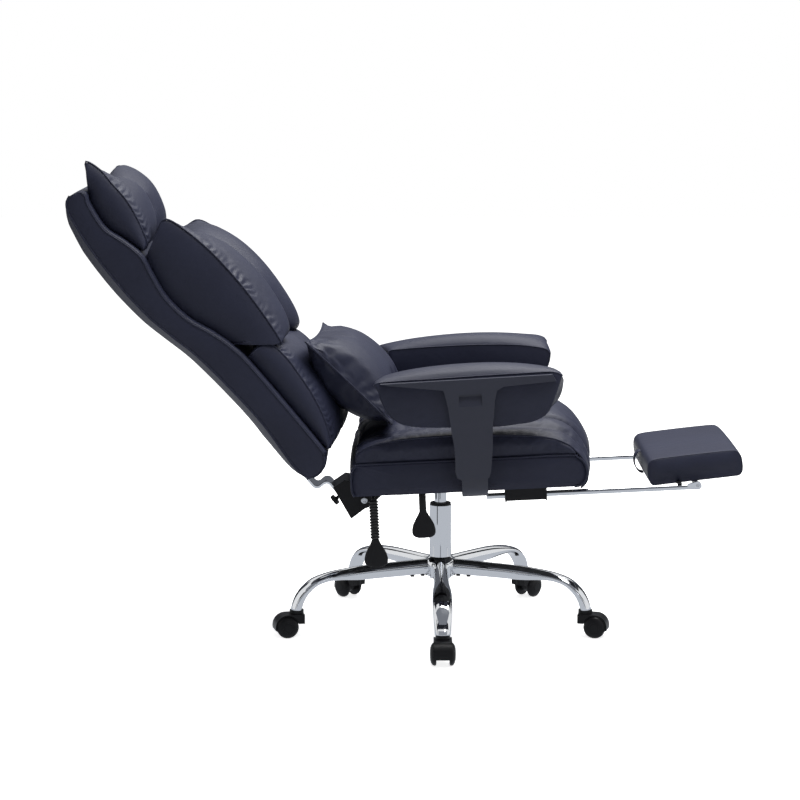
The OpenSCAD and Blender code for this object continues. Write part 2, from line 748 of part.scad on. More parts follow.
// Arms: the right one is modelled and the left one mirrored
module arm_post() {
    tee = concat(sized(post_front_shares, arm_len, arm_h), [[foot_x1, foot_low], [foot_x0, foot_low]],
        sized(post_rear_shares, arm_len, arm_h));
    difference() {
        intersection() {
            across(3 * arm_out) polygon(tee);
            translate([-arm_len, 0, 0]) rotate([90, 0, 90]) linear_extrude(2 * arm_len) post_profile();
        }
        // Finger recess: deepest at its top, running out at its lower end
        translate([slot_x - slot_w / 2, -arm_out, slot_top]) rotate([90, 0, 90]) linear_extrude(slot_w)
            polygon([[-over, 0], [slot_deep, 0], [slot_deep, -slot_face], [0, -slot_h], [-over, -slot_h]]);
        for (x = arm_bolt_shares)
            translate([foot_x0 + x * (foot_x1 - foot_x0), -foot_in - arm_bolt_in, 0])
                cylinder_on(arm_bolt_r + fit, foot_low - over, box_low + over);
        for (x = arm_screw_x_shares)
            translate([x * arm_len, -arm_out, arm_screw_z]) rotate([-90, 0, 0])
                cylinder_on(arm_bolt_r + fit, arm_screw_skin, post_t + over);
    }
}
module post_profile() {
    difference() {
        translate([-arm_out, foot_low]) union() {
            square([post_t, 2 * arm_h]);
            square([arm_out - foot_in, foot_plate_t - gap]);
            difference() {
                square(post_bend);
                translate([post_bend, post_bend]) circle(post_bend - foot_plate_t);
            }
        }
        translate([-arm_out, foot_low]) difference() {
            translate([-over, -over]) square(post_bend + over);
            translate([post_bend, post_bend]) circle(post_bend);
        }
    }
}
module arm_pad() {
    outline = sized(arm_shares, arm_len, arm_drop);
    mid = ring_mid(at_y(outline, 0));
    count = len(outline);
    difference() {
        translate([0, 0, arm_h]) loft([
            for (i = [len(arm_station_shares) - 1:-1:0])
            let (s = arm_station_shares[i], ring = [
                for (k = [0:count - 1])
                [mid[0] + (outline[k][0] - mid[0]) * s[2] + s[3] * arm_len,
                    mid[2] + (outline[k][1] - mid[2]) * s[2] + arm_top_shares[k] * s[1] * arm_crown]
            ])
            at_y(soft(concat(ring, [ring[0]])), -arm_out + post_t + gap + s[0] * arm_w)
        ]);
        for (x = arm_screw_x_shares)
            translate([x * arm_len, -arm_out, arm_screw_z]) rotate([-90, 0, 0]) {
                cylinder_on(arm_bolt_r + fit, 0, arm_screw_len + fit);
                cylinder_on(arm_bolt_head_r + fit, arm_screw_len - fit,
                    arm_screw_len + arm_bolt_head_h + gap);
            }
    }
}
module arm_fasteners() {
    for (x = arm_bolt_shares)
        translate([foot_x0 + x * (foot_x1 - foot_x0), -foot_in - arm_bolt_in, foot_low]) {
            cylinder_on(arm_bolt_head_r, -arm_bolt_head_h, 0);
            cylinder_on(arm_bolt_r, -fit, arm_bolt_len);
        }
    for (x = arm_screw_x_shares)
        translate([x * arm_len, -arm_out, arm_screw_z]) rotate([-90, 0, 0]) {
            cylinder_on(arm_bolt_r, arm_screw_skin + fit, arm_screw_len + over);
            cylinder_on(arm_bolt_head_r, arm_screw_len, arm_screw_len + arm_bolt_head_h);
        }
}
module arm_post_right() { color("#2a2c3a") in_seat() arm_post(); }
module arm_post_left() { color("#2a2c3a") in_seat() mirror([0, 1, 0]) arm_post(); }
module arm_pad_right() { color("#2b2b36") in_seat() arm_pad(); }
module arm_pad_left() { color("#2b2b36") in_seat() mirror([0, 1, 0]) arm_pad(); }
module arm_bolts() { color("black") in_seat() both_sides() arm_fasteners(); }

// Mechanism under the seat
module mechanism() {
    color("#1a1a1d") difference() {
        union() {
            in_seat() mechanism_body();
            cylinder_on(socket_r, seat_z - socket_low, seat_z - mech_low + socket_root);
        }
        cylinder_on(gas_r + fit, seat_z - 2 * socket_low, gas_top + gap);
        cylinder_on(button_r + over, gas_top, seat_z);
    }
}
module mechanism_body() {
    difference() {
        across(2 * mech_half) polygon([
            [-mech_back, pocket_h - gap], [mech_front, pocket_h - gap],
            [mech_front, -mech_low + mech_nose], [mech_front - mech_nose, -mech_low],
            [-mech_back + mech_nose, -mech_low],
            [-mech_back, -mech_low + mech_nose]
        ]);
        translate([-room_x0, -room_y0, -gas_inset + gap])
            cube([room_x0 + room_x1, room_y0 + room_y1, gas_inset + pocket_h]);
        translate([-height_x, 0, rod_up]) rotate([-90, 0, 0])
            cylinder_on(rod_r + fit, -mech_half - over, rod_end_y + gap);
    }
}
// A point of the bracket's cheek, in the seat's frame, from shares of the bar width about the pivot
function cheek_point(p) =
    let (x = -pivot_x + p[0] * bar_w, z = pivot_z + p[1] * bar_w - seat_z)
    [x * cos(seat_tilt) + z * tilt_sin, z * cos(seat_tilt) - x * tilt_sin];
module hinge_bracket() {
    outer = housing_half + housing_gap + cheek_t;
    color("#1a1a1d") difference() {
        in_seat() {
            both_sides() translate([0, outer - cheek_t / 2, 0]) across(cheek_t) polygon(concat(
                [for (p = cheek_shares) cheek_point(p)],
                [[-bridge_front, -mech_low + mech_nose], [-bridge_front, pocket_h - gap],
                    [-notch_front + gap, pocket_h - gap], cheek_point(cheek_top_shares)]
            ));
            translate([-notch_front + gap, -outer, pocket_h - gap - bridge_t])
                cube([notch_front - gap - bridge_front, 2 * outer, bridge_t]);
        }
        translate([-pivot_x, 0, pivot_z]) across(3 * outer) circle(bolt_r + fit);
        in_seat() translate([-recline_x, 0, rod_up]) across(3 * outer) circle(rod_r + fit);
    }
}
module hinge_housing() {
    color("#1d1d20") in_back() difference() {
        across(2 * housing_half) polygon([for (p = housing_shares) p * bar_w]);
        translate([-bar_in - bar_t - fit, -bar_w / 2 - fit, bar_foot - fit])
            cube([bar_t + 2 * fit, bar_w + 2 * fit, bar_w]);
        across(3 * housing_half) circle(bolt_r + fit);
        translate([-bar_in - bar_t, 0, knob_up]) rotate([0, -90, 0])
            cylinder_on(knob_stud_r + fit, 0, housing_half);
    }
}
module hinge_bolt() {
    outer = housing_half + housing_gap + cheek_t;
    color("silver") translate([-pivot_x, 0, pivot_z]) {
        across(2 * outer + bolt_head_h) circle(bolt_r);
        both_sides() rotate([-90, 0, 0]) cylinder_on(bolt_head_r, outer + fit, outer + fit + bolt_head_h);
    }
}
module clamp_knob() {
    color("#1d1d20") in_back() translate([-bar_in - bar_t - fit, 0, knob_up]) rotate([0, -90, 0]) {
        cylinder_on(knob_stud_r, 0, knob_stud_l);
        translate([0, 0, knob_stud_l - over]) linear_extrude(knob_h) {
            circle(knob_r - knob_lobe_r / 2);
            for (k = [0:knob_lobes - 1])
                rotate(k * full_turn / knob_lobes) translate([knob_r - knob_lobe_r, 0]) circle(knob_lobe_r);
        }
    }
}
module back_bar() {
    r = bar_bend_r;
    x1 = -bar_in - bar_t;
    x2 = x1 - bar_step;
    color("silver") in_back() difference() {
        across(bar_w) {
            translate([x1, bar_foot]) square([bar_t, bar_cross - bar_foot - r - bar_t]);
            translate([x2, bar_cross + r]) square([bar_t, bar_head - bar_cross - r]);
            translate([x2 + bar_t + r, bar_cross - bar_t]) square([x1 - x2 - bar_t - 2 * r, bar_t]);
            translate([x1 - r, bar_cross - bar_t - r]) bend_2d(0);
            translate([x2 + bar_t + r, bar_cross + r]) bend_2d(full_turn / 2);
        }
        for (z = bar_hole_shares)
            translate([x2, 0, bar_cross + z * (bar_head - bar_cross)]) rotate([0, 90, 0])
                cylinder_on(bar_hole_r, -over, bar_t + over);
    }
}
// Quarter of a bent strip, turned by an angle
module bend_2d(turn) {
    rotate(turn) intersection() {
        difference() {
            circle(bar_bend_r + bar_t);
            circle(bar_bend_r);
        }
        square(bar_bend_r + bar_t);
    }
}

// Back
module back_shell() {
    outline = concat(front_line_shares, shell_top_shares, piping_line_shares);
    color("#24242e") in_back() across(2 * back_half) polygon([for (p = outline) along_back(p)]);
}
module back_panel() {
    line = [for (p = piping_line_shares) along_back(p)];
    last = len(line) - 1;
    color("#24242e") in_back() difference() {
        loft([
            for (t = panel_stations)
            let (d = panel_edge + (rear_bulge - panel_edge) * (1 - t * t))
            at_y(concat(
                [for (i = [0:last]) line[last - i] - [gap, 0]],
                [for (i = [0:last]) line[i] - [gap + d * lookup(i / last, panel_end_shares), 0]]
            ), t * back_half)
        ]);
        translate([-bar_in - bar_t - bar_step - gap, -bar_w / 2 - gap, 0])
            cube([bar_t + 2 * gap, bar_w + 2 * gap, bar_head + gap]);
    }
}
// Ring of a front cushion: its rear follows the shell, then come its front points
function cushion_ring(foot, head, front) = concat(
    [[front_at(head) + gap, back_low + head * back_len]],
    [
        for (i = [len(front_line_shares) - 1:-1:0])
        let (u = front_line_shares[i][0])
        if (u > foot && u < head) [front_at(u) + gap, back_low + u * back_len]
    ],
    [[front_at(foot) + gap, back_low + foot * back_len]],
    soft([for (p = front) along_back(p)])
);
module back_cushion(foot, head, seam, lobe, mid) {
    rings = [for (p = [seam, lobe, mid]) cushion_ring(foot, head, p)];
    tucked = cushion_ring(foot, head, [
        for (p = seam) [p[0], p[1] - tuck_share * (p[1] - lookup(p[0], front_line_shares))]
    ]);
    color("#2b2b36") in_back() loft(concat(
        [at_y(tucked, -cushion_half - cushion_end)],
        [
            for (t = lobe_stations)
            let (a = abs(t), k = (1 - a) / (1 - lobe_at_share), m = 1 - a / lobe_at_share)
            at_y(
                a > lobe_at_share ? mix(rings[0], rings[1], sin(90 * k))
                    : mix(rings[1], rings[2], 1 - cos(90 * m)),
                t * cushion_half
            )
        ],
        [at_y(tucked, cushion_half + cushion_end)]
    ));
}
module head_cushion() {
    back_cushion(head_foot_share, head_head_share, head_seam_shares, head_lobe_shares, head_mid_shares);
}
module shoulder_cushion() {
    back_cushion(shoulder_foot_share, shoulder_head_share, shoulder_seam_shares, shoulder_lobe_shares,
        shoulder_mid_shares);
}
module lumbar_cushion() {
    back_cushion(lumbar_foot_share, lumbar_head_share, lumbar_seam_shares, lumbar_lobe_shares,
        lumbar_mid_shares);
}
module lumbar_pillow() {
    color("#2b2b36") in_back()
        translate([pillow_pos_shares[0] * back_deep, 0, back_low + pillow_pos_shares[1] * back_len])
        rotate([0, -pillow_turn, 0])
        loft([
            for (t = pillow_stations)
            let (
                half = pillow_w / 2 * (1 - pillow_draw_share * (1 - t * t)),
                thick = pillow_t / 2 * max(sqrt(1 - pow(abs(t), pillow_power)), pillow_edge_share)
            )
            at_y([
                for (k = [0:pillow_sides - 1])
                let (a = k * full_turn / pillow_sides)
                [thick * sin(a) * sqrt(abs(sin(a))), half * cos(a)]
            ], -t * pillow_l / 2)
        ]);
}

// Footrest
module rail_guide() {
    translate([0, -rail_y, 0]) difference() {
        union() {
            translate([guide_back, -guide_out, -guide_low])
                cube([guide_front - guide_back, guide_in + guide_out, guide_low + box_low - gap]);
            for (x = [guide_back, guide_front - guide_lip])
                translate([x, -guide_out, -guide_low - guide_lip])
                    cube([guide_lip, guide_in + guide_out, guide_lip + over]);
        }
        translate([0, 0, -rail_drop]) rotate([0, 90, 0]) cylinder_on(rail_r + fit, 0, 2 * guide_front);
    }
}
module footrest_rail() {
    eye_start = shaft_x - eye_run;
    translate([0, -rail_y, -rail_drop]) {
        rotate([0, 90, 0]) cylinder_on(rail_r, rail_back, eye_start + over);
        difference() {
            across(eye_t) {
                translate([shaft_x, eye_up]) circle(eye_r);
                polygon([[eye_start, -rail_r + eye_in], [shaft_x, eye_up - eye_r],
                    [shaft_x, eye_up + eye_r], [eye_start, rail_r - eye_in]]);
            }
            translate([shaft_x, 0, eye_up]) across(2 * eye_t) circle(shaft_r + fit);
        }
    }
}
module rail_guide_right() { color("#1a1a1d") in_seat() rail_guide(); }
module rail_guide_left() { color("#1a1a1d") in_seat() mirror([0, 1, 0]) rail_guide(); }
module footrest_rail_right() { color("silver") in_seat() footrest_rail(); }
module footrest_rail_left() { color("silver") in_seat() mirror([0, 1, 0]) footrest_rail(); }
module footrest_shaft() {
    color("silver") in_seat() translate([shaft_x, 0, -rail_drop + eye_up])
        across(2 * rail_y + eye_t) circle(shaft_r);
}
module on_shaft() {
    in_seat() translate([shaft_x, 0, -rail_drop + eye_up]) rotate([0, -foot_tilt, 0]) children();
}
module footrest_frame() {
    stop_y = foot_half + 2 * gap;
    stop_z = (rail_r - eye_up + gap + stop_back * sin(foot_tilt)) / cos(foot_tilt);
    color("#1a1a1d") on_shaft() {
        translate([-tray_back, -tray_half, tray_up]) cube([tray_back + tray_front, 2 * tray_half, tray_t]);
        difference() {
            both_sides() translate([0, ear_y, 0]) across(ear_t) {
                circle(ear_r);
                translate([-ear_r, 0]) square([2 * ear_r, tray_up + tray_t / 2]);
            }
            across(3 * ear_y) circle(shaft_r + fit);
        }
        both_sides() translate([-stop_back, 0, 0]) {
            translate([0, tray_half - over, tray_up])
                cube([stop_l, stop_y + tray_t + over - tray_half, tray_t]);
            translate([0, stop_y, tray_up]) cube([stop_l, tray_t, stop_z + tray_t - tray_up]);
            translate([0, stop_y, stop_z]) cube([stop_l, rail_y + rail_r - stop_y, tray_t]);
        }
    }
}
module footrest_pad() {
    low = tray_up + tray_t + gap;
    outline = [for (p = foot_shares) [(p[0] - foot_back_share) * foot_len, low + p[1] * foot_t]];
    soft_part = soft([for (i = [0:9]) outline[i]]);
    ring = concat(soft_part, [outline[10]], soft([outline[11], outline[12], outline[0]]));
    mid = ring_mid(at_y(outline, 0));
    color("#2b2b36") on_shaft() loft([
        for (s = foot_station_shares)
        at_y([
            for (i = [0:len(ring) - 2])
            let (p = ring[i])
            [mid[0] + (p[0] - mid[0]) * min(s[1], 1), low + (p[1] - low) * s[1]]
        ], -s[0] * foot_half)
    ]);
}

// Levers
module lever_rod(inner_y, drop) {
    rotate([90, 0, 0]) cylinder_on(rod_r, -inner_y, lever_y - bend_r);
    translate([0, -lever_y + bend_r, -bend_r]) rotate([0, -90, 0])
        rotate([0, 0, 180]) mirror([1, 0, 0]) rotate_extrude(angle = 90) translate([bend_r, 0]) circle(rod_r);
    translate([0, -lever_y, -bend_r]) cylinder_on(rod_r, -drop, 0);
}
module paddle(stem, bore) {
    half = [for (p = soft(paddle_shares)) [p[0] * paddle_w, -p[1] * paddle_l]];
    count = len(half) - 1;
    difference() {
        union() {
            cylinder_on(stem_w / 2, -stem, 0);
            translate([0, 0, -stem]) across(paddle_t)
                polygon(concat(half, [for (i = [count - 1:-1:0]) [-half[i][0], half[i][1]]]));
        }
        cylinder_on(rod_r + fit, -bore, over);
    }
}
module height_rod() {
    low = gas_top + button_up + gap - seat_z;
    color("black") in_seat() translate([-height_x, 0, 0]) {
        translate([0, 0, rod_up]) lever_rod(rod_end_y, height_stem);
        translate([-rod_r, -arm_wide / 2, low]) cube([2 * rod_r, arm_wide, rod_up - low]);
        translate([-rod_r, -arm_wide / 2, low]) cube([height_x + rod_r, arm_wide, arm_thick]);
    }
}
module height_paddle() {
    color("#17171a") in_seat() translate([-height_x, -lever_y, rod_up - bend_r])
        paddle(height_stem + fit, height_stem + gap);
}
module recline_rod() {
    color("black") in_seat() translate([-recline_x, 0, rod_up])
        lever_rod(housing_half + cheek_t, bellows_l + rod_tip);
}
module recline_bellows() {
    pitch = bellows_l / bellows_ribs;
    color("#17171a") in_seat() translate([-recline_x, -lever_y, rod_up - bend_r - bellows_l]) rotate_extrude()
        polygon(concat(
            [[bellows_bore, 0], [bellows_bore, bellows_l]],
            [for (k = [bellows_ribs - 1:-1:0]) each [for (p = rib_shares)
                [p[0] > 0.5 ? bellows_r : bellows_valley, (k + p[1]) * pitch]]]
        ));
}
module recline_paddle() {
    color("#17171a") in_seat() translate([-recline_x, -lever_y, rod_up - bend_r - bellows_l - gap])
        paddle(recline_stem, rod_tip);
}

base_hub();
base_leg(0);  // base_leg_1
base_leg(1);  // base_leg_2
base_leg(2);  // base_leg_3
base_leg(3);  // base_leg_4
base_leg(4);  // base_leg_5
leg_screws();
column_tube();
column_bush();
thrust_bearing();
piston_rod();
gas_cylinder();
release_button();
caster_fork(0);  // caster_fork_1
caster_fork(1);  // caster_fork_2
caster_fork(2);  // caster_fork_3
caster_fork(3);  // caster_fork_4
caster_fork(4);  // caster_fork_5
caster_axle(0);  // caster_axle_1
caster_axle(1);  // caster_axle_2
caster_axle(2);  // caster_axle_3
caster_axle(3);  // caster_axle_4
caster_axle(4);  // caster_axle_5
caster_wheels(0);  // caster_wheels_1
caster_wheels(1);  // caster_wheels_2
caster_wheels(2);  // caster_wheels_3
caster_wheels(3);  // caster_wheels_4
caster_wheels(4);  // caster_wheels_5
mechanism();
hinge_bracket();
hinge_housing();
hinge_bolt();
clamp_knob();
back_bar();
back_shell();
back_panel();
head_cushion();
shoulder_cushion();
lumbar_cushion();
lumbar_pillow();
seat_board();
seat_box();
seat_cushion();
arm_post_right();
arm_post_left();
arm_pad_right();
arm_pad_left();
arm_bolts();
rail_guide_right();
rail_guide_left();
footrest_rail_right();
footrest_rail_left();
footrest_shaft();
footrest_frame();
footrest_pad();
height_rod();
height_paddle();
recline_rod();
recline_bellows();
recline_paddle();
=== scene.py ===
import math

import bmesh
import bpy
import numpy as np
from mathutils import Matrix, Vector
from mathutils.kdtree import KDTree
from mathutils.noise import noise


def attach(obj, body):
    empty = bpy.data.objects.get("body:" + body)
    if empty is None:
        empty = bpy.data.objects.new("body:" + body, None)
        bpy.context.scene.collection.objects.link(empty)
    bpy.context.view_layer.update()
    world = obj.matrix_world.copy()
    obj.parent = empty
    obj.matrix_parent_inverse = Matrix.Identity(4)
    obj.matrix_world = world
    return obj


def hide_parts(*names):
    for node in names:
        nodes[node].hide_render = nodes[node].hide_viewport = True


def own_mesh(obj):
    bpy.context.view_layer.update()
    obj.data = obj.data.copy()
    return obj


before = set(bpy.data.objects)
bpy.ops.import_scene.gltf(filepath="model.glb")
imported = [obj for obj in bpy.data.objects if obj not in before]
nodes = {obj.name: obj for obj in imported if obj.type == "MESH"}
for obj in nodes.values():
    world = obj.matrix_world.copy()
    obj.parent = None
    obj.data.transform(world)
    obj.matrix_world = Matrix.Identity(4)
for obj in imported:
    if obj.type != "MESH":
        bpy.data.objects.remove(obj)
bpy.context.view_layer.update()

bpy.ops.object.select_all(action="DESELECT")

# Studio: a white floor in a white room, with one wide soft box overhead and a weak one beside the camera.
# The camera stands 5.6 m to the sitter's right, above the chair, and has a long lens. It looks down by
# CAMERA_DROP radians.
CAMERA_PLACE = (-0.0926, -5.5813, 1.3732)
CAMERA_DROP = 0.151
bpy.ops.object.camera_add(location=CAMERA_PLACE, rotation=(math.pi / 2 - CAMERA_DROP, 0, 0))
camera = bpy.context.object
camera.name = "camera"
camera.data.sensor_width = 36
camera.data.lens = 111.7
camera.data.clip_end = 60
bpy.context.scene.camera = camera
bpy.context.scene.view_settings.view_transform = "Standard"


def linear(hex_colour):
    """Linear colour of an sRGB hex value."""
    parts = [int(hex_colour[i:i + 2], 16) / 255 for i in (1, 3, 5)]
    return [c / 12.92 if c <= 0.04045 else ((c + 0.055) / 1.055) ** 2.4 for c in parts] + [1.0]


def add_node(tree, kind, values=None, links=None, **options):
    """Adds a node: values by socket, links by socket to (node, output), options by property."""
    node = tree.nodes.new(kind)
    for key, value in options.items():
        setattr(node, key, value)
    for key, value in (values or {}).items():
        node.inputs[key].default_value = value
    for key, (source, output) in (links or {}).items():
        tree.links.new(source.outputs[output], node.inputs[key])
    return node


def soft_box(name, place, aim, width, depth, watts, colour):
    """A rectangular lamp at a place, facing a point."""
    bpy.ops.object.light_add(type="AREA", location=place)
    lamp = bpy.context.object
    lamp.name = name
    lamp.data.shape = "RECTANGLE"
    lamp.data.size = width
    lamp.data.size_y = depth
    lamp.data.energy = watts
    lamp.data.color = linear(colour)[:3]
    lamp.rotation_euler = (Vector(aim) - Vector(place)).to_track_quat("-Z", "Y").to_euler()


soft_box("overhead_soft_box", (0.6, 0.1, 3.2), (0.1, 0, 0.4), 3.2, 2.2, 230, "#FFFFFF")
soft_box("camera_side_box", (1.8, -4.5, 1.9), (0, 0, 0.5), 1.2, 1.2, 10, "#F4F6FF")

# Cards round the set, which only mirror finishes and sheen see, each with its place, its turn in degrees,
# its width and height in metres and its tone. Dark ones over the camera and on the floor at the left keep
# the leather from shining. Grey ones at the camera, behind the chair and over the front leg, and a pale one
# on the floor, shade the chrome. Narrow dark ones at the sides draw its edges.
CARDS = [
    ("card_over_camera", (0, -5.2, 4.2), (-58, 0, 0), 14, 6.5, "#24262C"),
    ("card_by_camera", (0, -8, 1.3), (90, 0, 0), 16, 2.6, "#9A9DA4"),
    ("card_on_floor", (0, -1.6, 0.004), (0, 0, 0), 9, 7, "#D0D4DB"),
    ("card_behind", (0, 6, 1.6), (90, 0, 0), 16, 3.2, "#63666D"),
    ("card_over_front_leg", (0, -1.9, 2.2), (180, 0, 0), 4.4, 2.9, "#85888F"),
    ("card_floor_left", (-3.1, 2.2, 0.003), (0, 0, 0), 4.6, 6.4, "#24262C"),
    ("card_left_front", (-2.9, -1.75, 1.2), (90, 0, -59), 0.42, 2.4, "#17181C"),
    ("card_left_rear", (-2.4, 2.3, 1.2), (90, 0, -134), 0.95, 2.4, "#26282E"),
    ("card_right_rear", (2.4, 2.3, 1.2), (90, 0, 134), 0.95, 2.4, "#26282E"),
]
for name, place, turn, width, height, colour in CARDS:
    bpy.ops.mesh.primitive_plane_add(size=1, location=place, rotation=[math.radians(angle) for angle in turn])
    card = bpy.context.object
    card.name = name
    card.scale = (width, height, 1)
    bpy.ops.object.transform_apply(location=True, rotation=True, scale=True)
    card.visible_camera = False
    card.visible_diffuse = False
    card.visible_shadow = False
    # Matt painted card: one even tone from every side.
    paint = bpy.data.materials.new(f"matt painted {name}")
    paint.use_nodes = True
    tree = paint.node_tree
    tree.nodes.clear()
    tone = add_node(tree, "ShaderNodeEmission", {"Color": linear(colour), "Strength": 1.0})
    add_node(tree, "ShaderNodeOutputMaterial", links={"Surface": (tone, 0)})
    card.data.materials.append(paint)


def looked_at(tree):
    """1 on rays from the camera, from mirror finishes and through clear pieces, and 0 on all other light."""
    ray = add_node(tree, "ShaderNodeLightPath")
    seen = add_node(
        tree, "ShaderNodeMath", links={0: (ray, "Is Camera Ray"), 1: (ray, "Is Glossy Ray")},
        operation="MAXIMUM",
    )
    return add_node(
        tree, "ShaderNodeMath", links={0: (seen, 0), 1: (ray, "Is Transmission Ray")}, operation="MAXIMUM",
    )


bpy.ops.mesh.primitive_plane_add(size=24, location=(0, 0, 0))
floor = bpy.context.object
floor.name = "floor"
# White painted board: matt. It shows white where the camera or a mirror finish sees it, less its shadows.
floor_paint = bpy.data.materials.new("white painted studio board")
floor_paint.use_nodes = True
tree = floor_paint.node_tree
tree.nodes.clear()
floor_matt = add_node(tree, "ShaderNodeBsdfDiffuse", {"Color": linear("#F2F2F2")})
floor_show = add_node(tree, "ShaderNodeEmission", {"Color": (1, 1, 1, 1), "Strength": 0.82})
floor_both = add_node(tree, "ShaderNodeAddShader", links={0: (floor_matt, 0), 1: (floor_show, 0)})
floor_mix = add_node(
    tree, "ShaderNodeMixShader", links={0: (looked_at(tree), 0), 1: (floor_matt, 0), 2: (floor_both, 0)},
)
add_node(tree, "ShaderNodeOutputMaterial", links={"Surface": (floor_mix, 0)})
floor.data.materials.append(floor_paint)

# The room: white to the camera and to mirror finishes, and a dim even light on all pieces.
world = bpy.data.worlds.new("white studio")
bpy.context.scene.world = world
world.use_nodes = True
tree = world.node_tree
tree.nodes.clear()
room_light = add_node(tree, "ShaderNodeBackground", {"Color": (1, 1, 1, 1), "Strength": 0.29})
room_seen = add_node(tree, "ShaderNodeBackground", {"Color": (1, 1, 1, 1), "Strength": 1.0})
room_mix = add_node(
    tree, "ShaderNodeMixShader", links={0: (looked_at(tree), 0), 1: (room_light, 0), 2: (room_seen, 0)},
)
add_node(tree, "ShaderNodeOutputWorld", links={"Surface": (room_mix, 0)})


# Star base: hub and five legs, pressed from steel tube, polished and chrome plated.
# Each leg is a flattened tube that bends down at its end to a socket for the caster stem.
def finish_of(name):
    """A new material with its shader joined to the output; returns the material, its tree and its shader."""
    material = bpy.data.materials.new(name)
    material.use_nodes = True
    own = material.node_tree
    own.nodes.clear()
    shader = add_node(own, "ShaderNodeBsdfPrincipled")
    add_node(own, "ShaderNodeOutputMaterial", links={"Surface": (shader, 0)})
    return material, own, shader


# Chrome plate on polished steel: a neutral mirror, a little uneven from the polishing wheel.
chrome, tree, shader = finish_of("chrome plated steel, polished")
shader.inputs["Base Color"].default_value = linear("#D9DBDE")
shader.inputs["Metallic"].default_value = 1.0
spot = add_node(tree, "ShaderNodeTexCoord")
haze = add_node(tree, "ShaderNodeTexNoise", {"Scale": 40.0, "Detail": 3.0}, {"Vector": (spot, "Object")})
haze_range = add_node(tree, "ShaderNodeMapRange", {"To Min": 0.03, "To Max": 0.1}, {"Value": (haze, 0)})
tree.links.new(haze_range.outputs[0], shader.inputs["Roughness"])
ripple = add_node(tree, "ShaderNodeTexNoise", {"Scale": 14.0, "Detail": 1.0}, {"Vector": (spot, "Object")})
ripple_bump = add_node(tree, "ShaderNodeBump", {"Strength": 0.12, "Distance": 0.002}, {"Height": (ripple, 0)})
tree.links.new(ripple_bump.outputs[0], shader.inputs["Normal"])


# Two faces that turn by less than ROUND are shaded as one surface, and by more than SHARP they have an edge.
SHARP, ROUND = math.radians(35), math.radians(38)


def dress(name, material, edge=0.0, segments=2):
    """Gives a CAD node its material, welds its corners and rounds its sharp edges by edge metres."""
    node = nodes[name]
    node.data.materials.clear()
    node.data.materials.append(material)
    weld = node.modifiers.new("weld", "WELD")
    weld.merge_threshold = 0.00001
    if edge:
        bevel = node.modifiers.new("edges", "BEVEL")
        bevel.width = edge
        bevel.segments = segments
        bevel.limit_method = "ANGLE"
        bevel.angle_limit = SHARP
    node.data.shade_flat()


def curve_through(points, steps):
    """Smooth line through points, with steps points for each stretch."""
    points = np.array(points, float)
    last = len(points) - 1
    line = []
    for i in range(last):
        a, b, c, d = (points[k] for k in (max(i - 1, 0), i, i + 1, min(i + 2, last)))
        for t in np.arange(steps) / steps:
            line.append(0.5 * (
                2 * b + (c - a) * t + (2 * a - 5 * b + 4 * c - d) * t * t + (3 * b - a - 3 * c + d) * t ** 3
            ))
    return np.array(line + [points[last]])


def open_piece(name):
    """Names the primitive just added and opens it for shaping, all of it selected."""
    piece = bpy.context.object
    piece.name = name
    bpy.ops.object.mode_set(mode="EDIT")
    bpy.ops.mesh.select_mode(type="VERT")
    bpy.ops.mesh.select_all(action="SELECT")
    return piece


def close_piece(piece, material, edge=0.0):
    """Merges and closes a shaped piece, rounds its edges by edge metres and gives it its material."""
    bpy.ops.mesh.select_all(action="SELECT")
    bpy.ops.mesh.remove_doubles(threshold=0.00005)
    bpy.ops.mesh.normals_make_consistent(inside=False)
    bpy.ops.object.mode_set(mode="OBJECT")
    bpy.ops.object.transform_apply(location=True, rotation=True, scale=True)
    if edge:
        rounded = piece.modifiers.new("rounded", "BEVEL")
        rounded.width = edge
        rounded.segments = 3
        rounded.limit_method = "ANGLE"
        rounded.angle_limit = SHARP
        bpy.ops.object.modifier_apply(modifier="rounded")
    bpy.ops.object.shade_smooth_by_angle(angle=ROUND)
    piece.data.materials.append(material)
    return piece


def copy_piece(piece, name, matrix):
    """A copy with its own mesh, moved by the matrix."""
    double = piece.copy()
    double.data = piece.data.copy()
    double.name = name
    double.data.transform(matrix)
    bpy.context.scene.collection.objects.link(double)
    return double


def turned(name, place, axis, profile, sides=48):
    """Opens a turned piece: a ring carried along the axis and resized through distance and radius; in mm."""
    run = Vector([1.0 if letter == axis else 0.0 for letter in "XYZ"])
    centre = Vector(place) / 1000
    bpy.ops.object.select_all(action="DESELECT")
    bpy.ops.mesh.primitive_circle_add(
        vertices=sides, radius=profile[0][1] / 1000, location=centre + run * profile[0][0] / 1000,
        rotation=(math.pi / 2, 0, 0) if axis == "Y" else (0, 0, 0),
    )
    piece = open_piece(name)
    for (at, radius), (ahead, next_radius) in zip(profile, profile[1:]):
        bpy.ops.mesh.extrude_region_move(TRANSFORM_OT_translate={"value": run * (ahead - at) / 1000})
        ratio = next_radius / radius
        bpy.ops.transform.resize(
            value=[1.0 if letter == axis else ratio for letter in "XYZ"],
            center_override=centre + run * ahead / 1000,
        )
    return piece


# Hub: a turned collar, open in the middle for the column. Each step has its height and radius in mm.
hub = turned("hub", (0, 0, 0), "Z", [
    (120, 25.3), (120, 36.5), (121.5, 38), (146, 38.2), (151, 37), (156, 33.8), (160, 29.8), (162.8, 26.6),
    (163.4, 25.3), (120, 25.3),
], 80)
close_piece(hub, chrome)
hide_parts("base_hub")
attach(hub, "base")

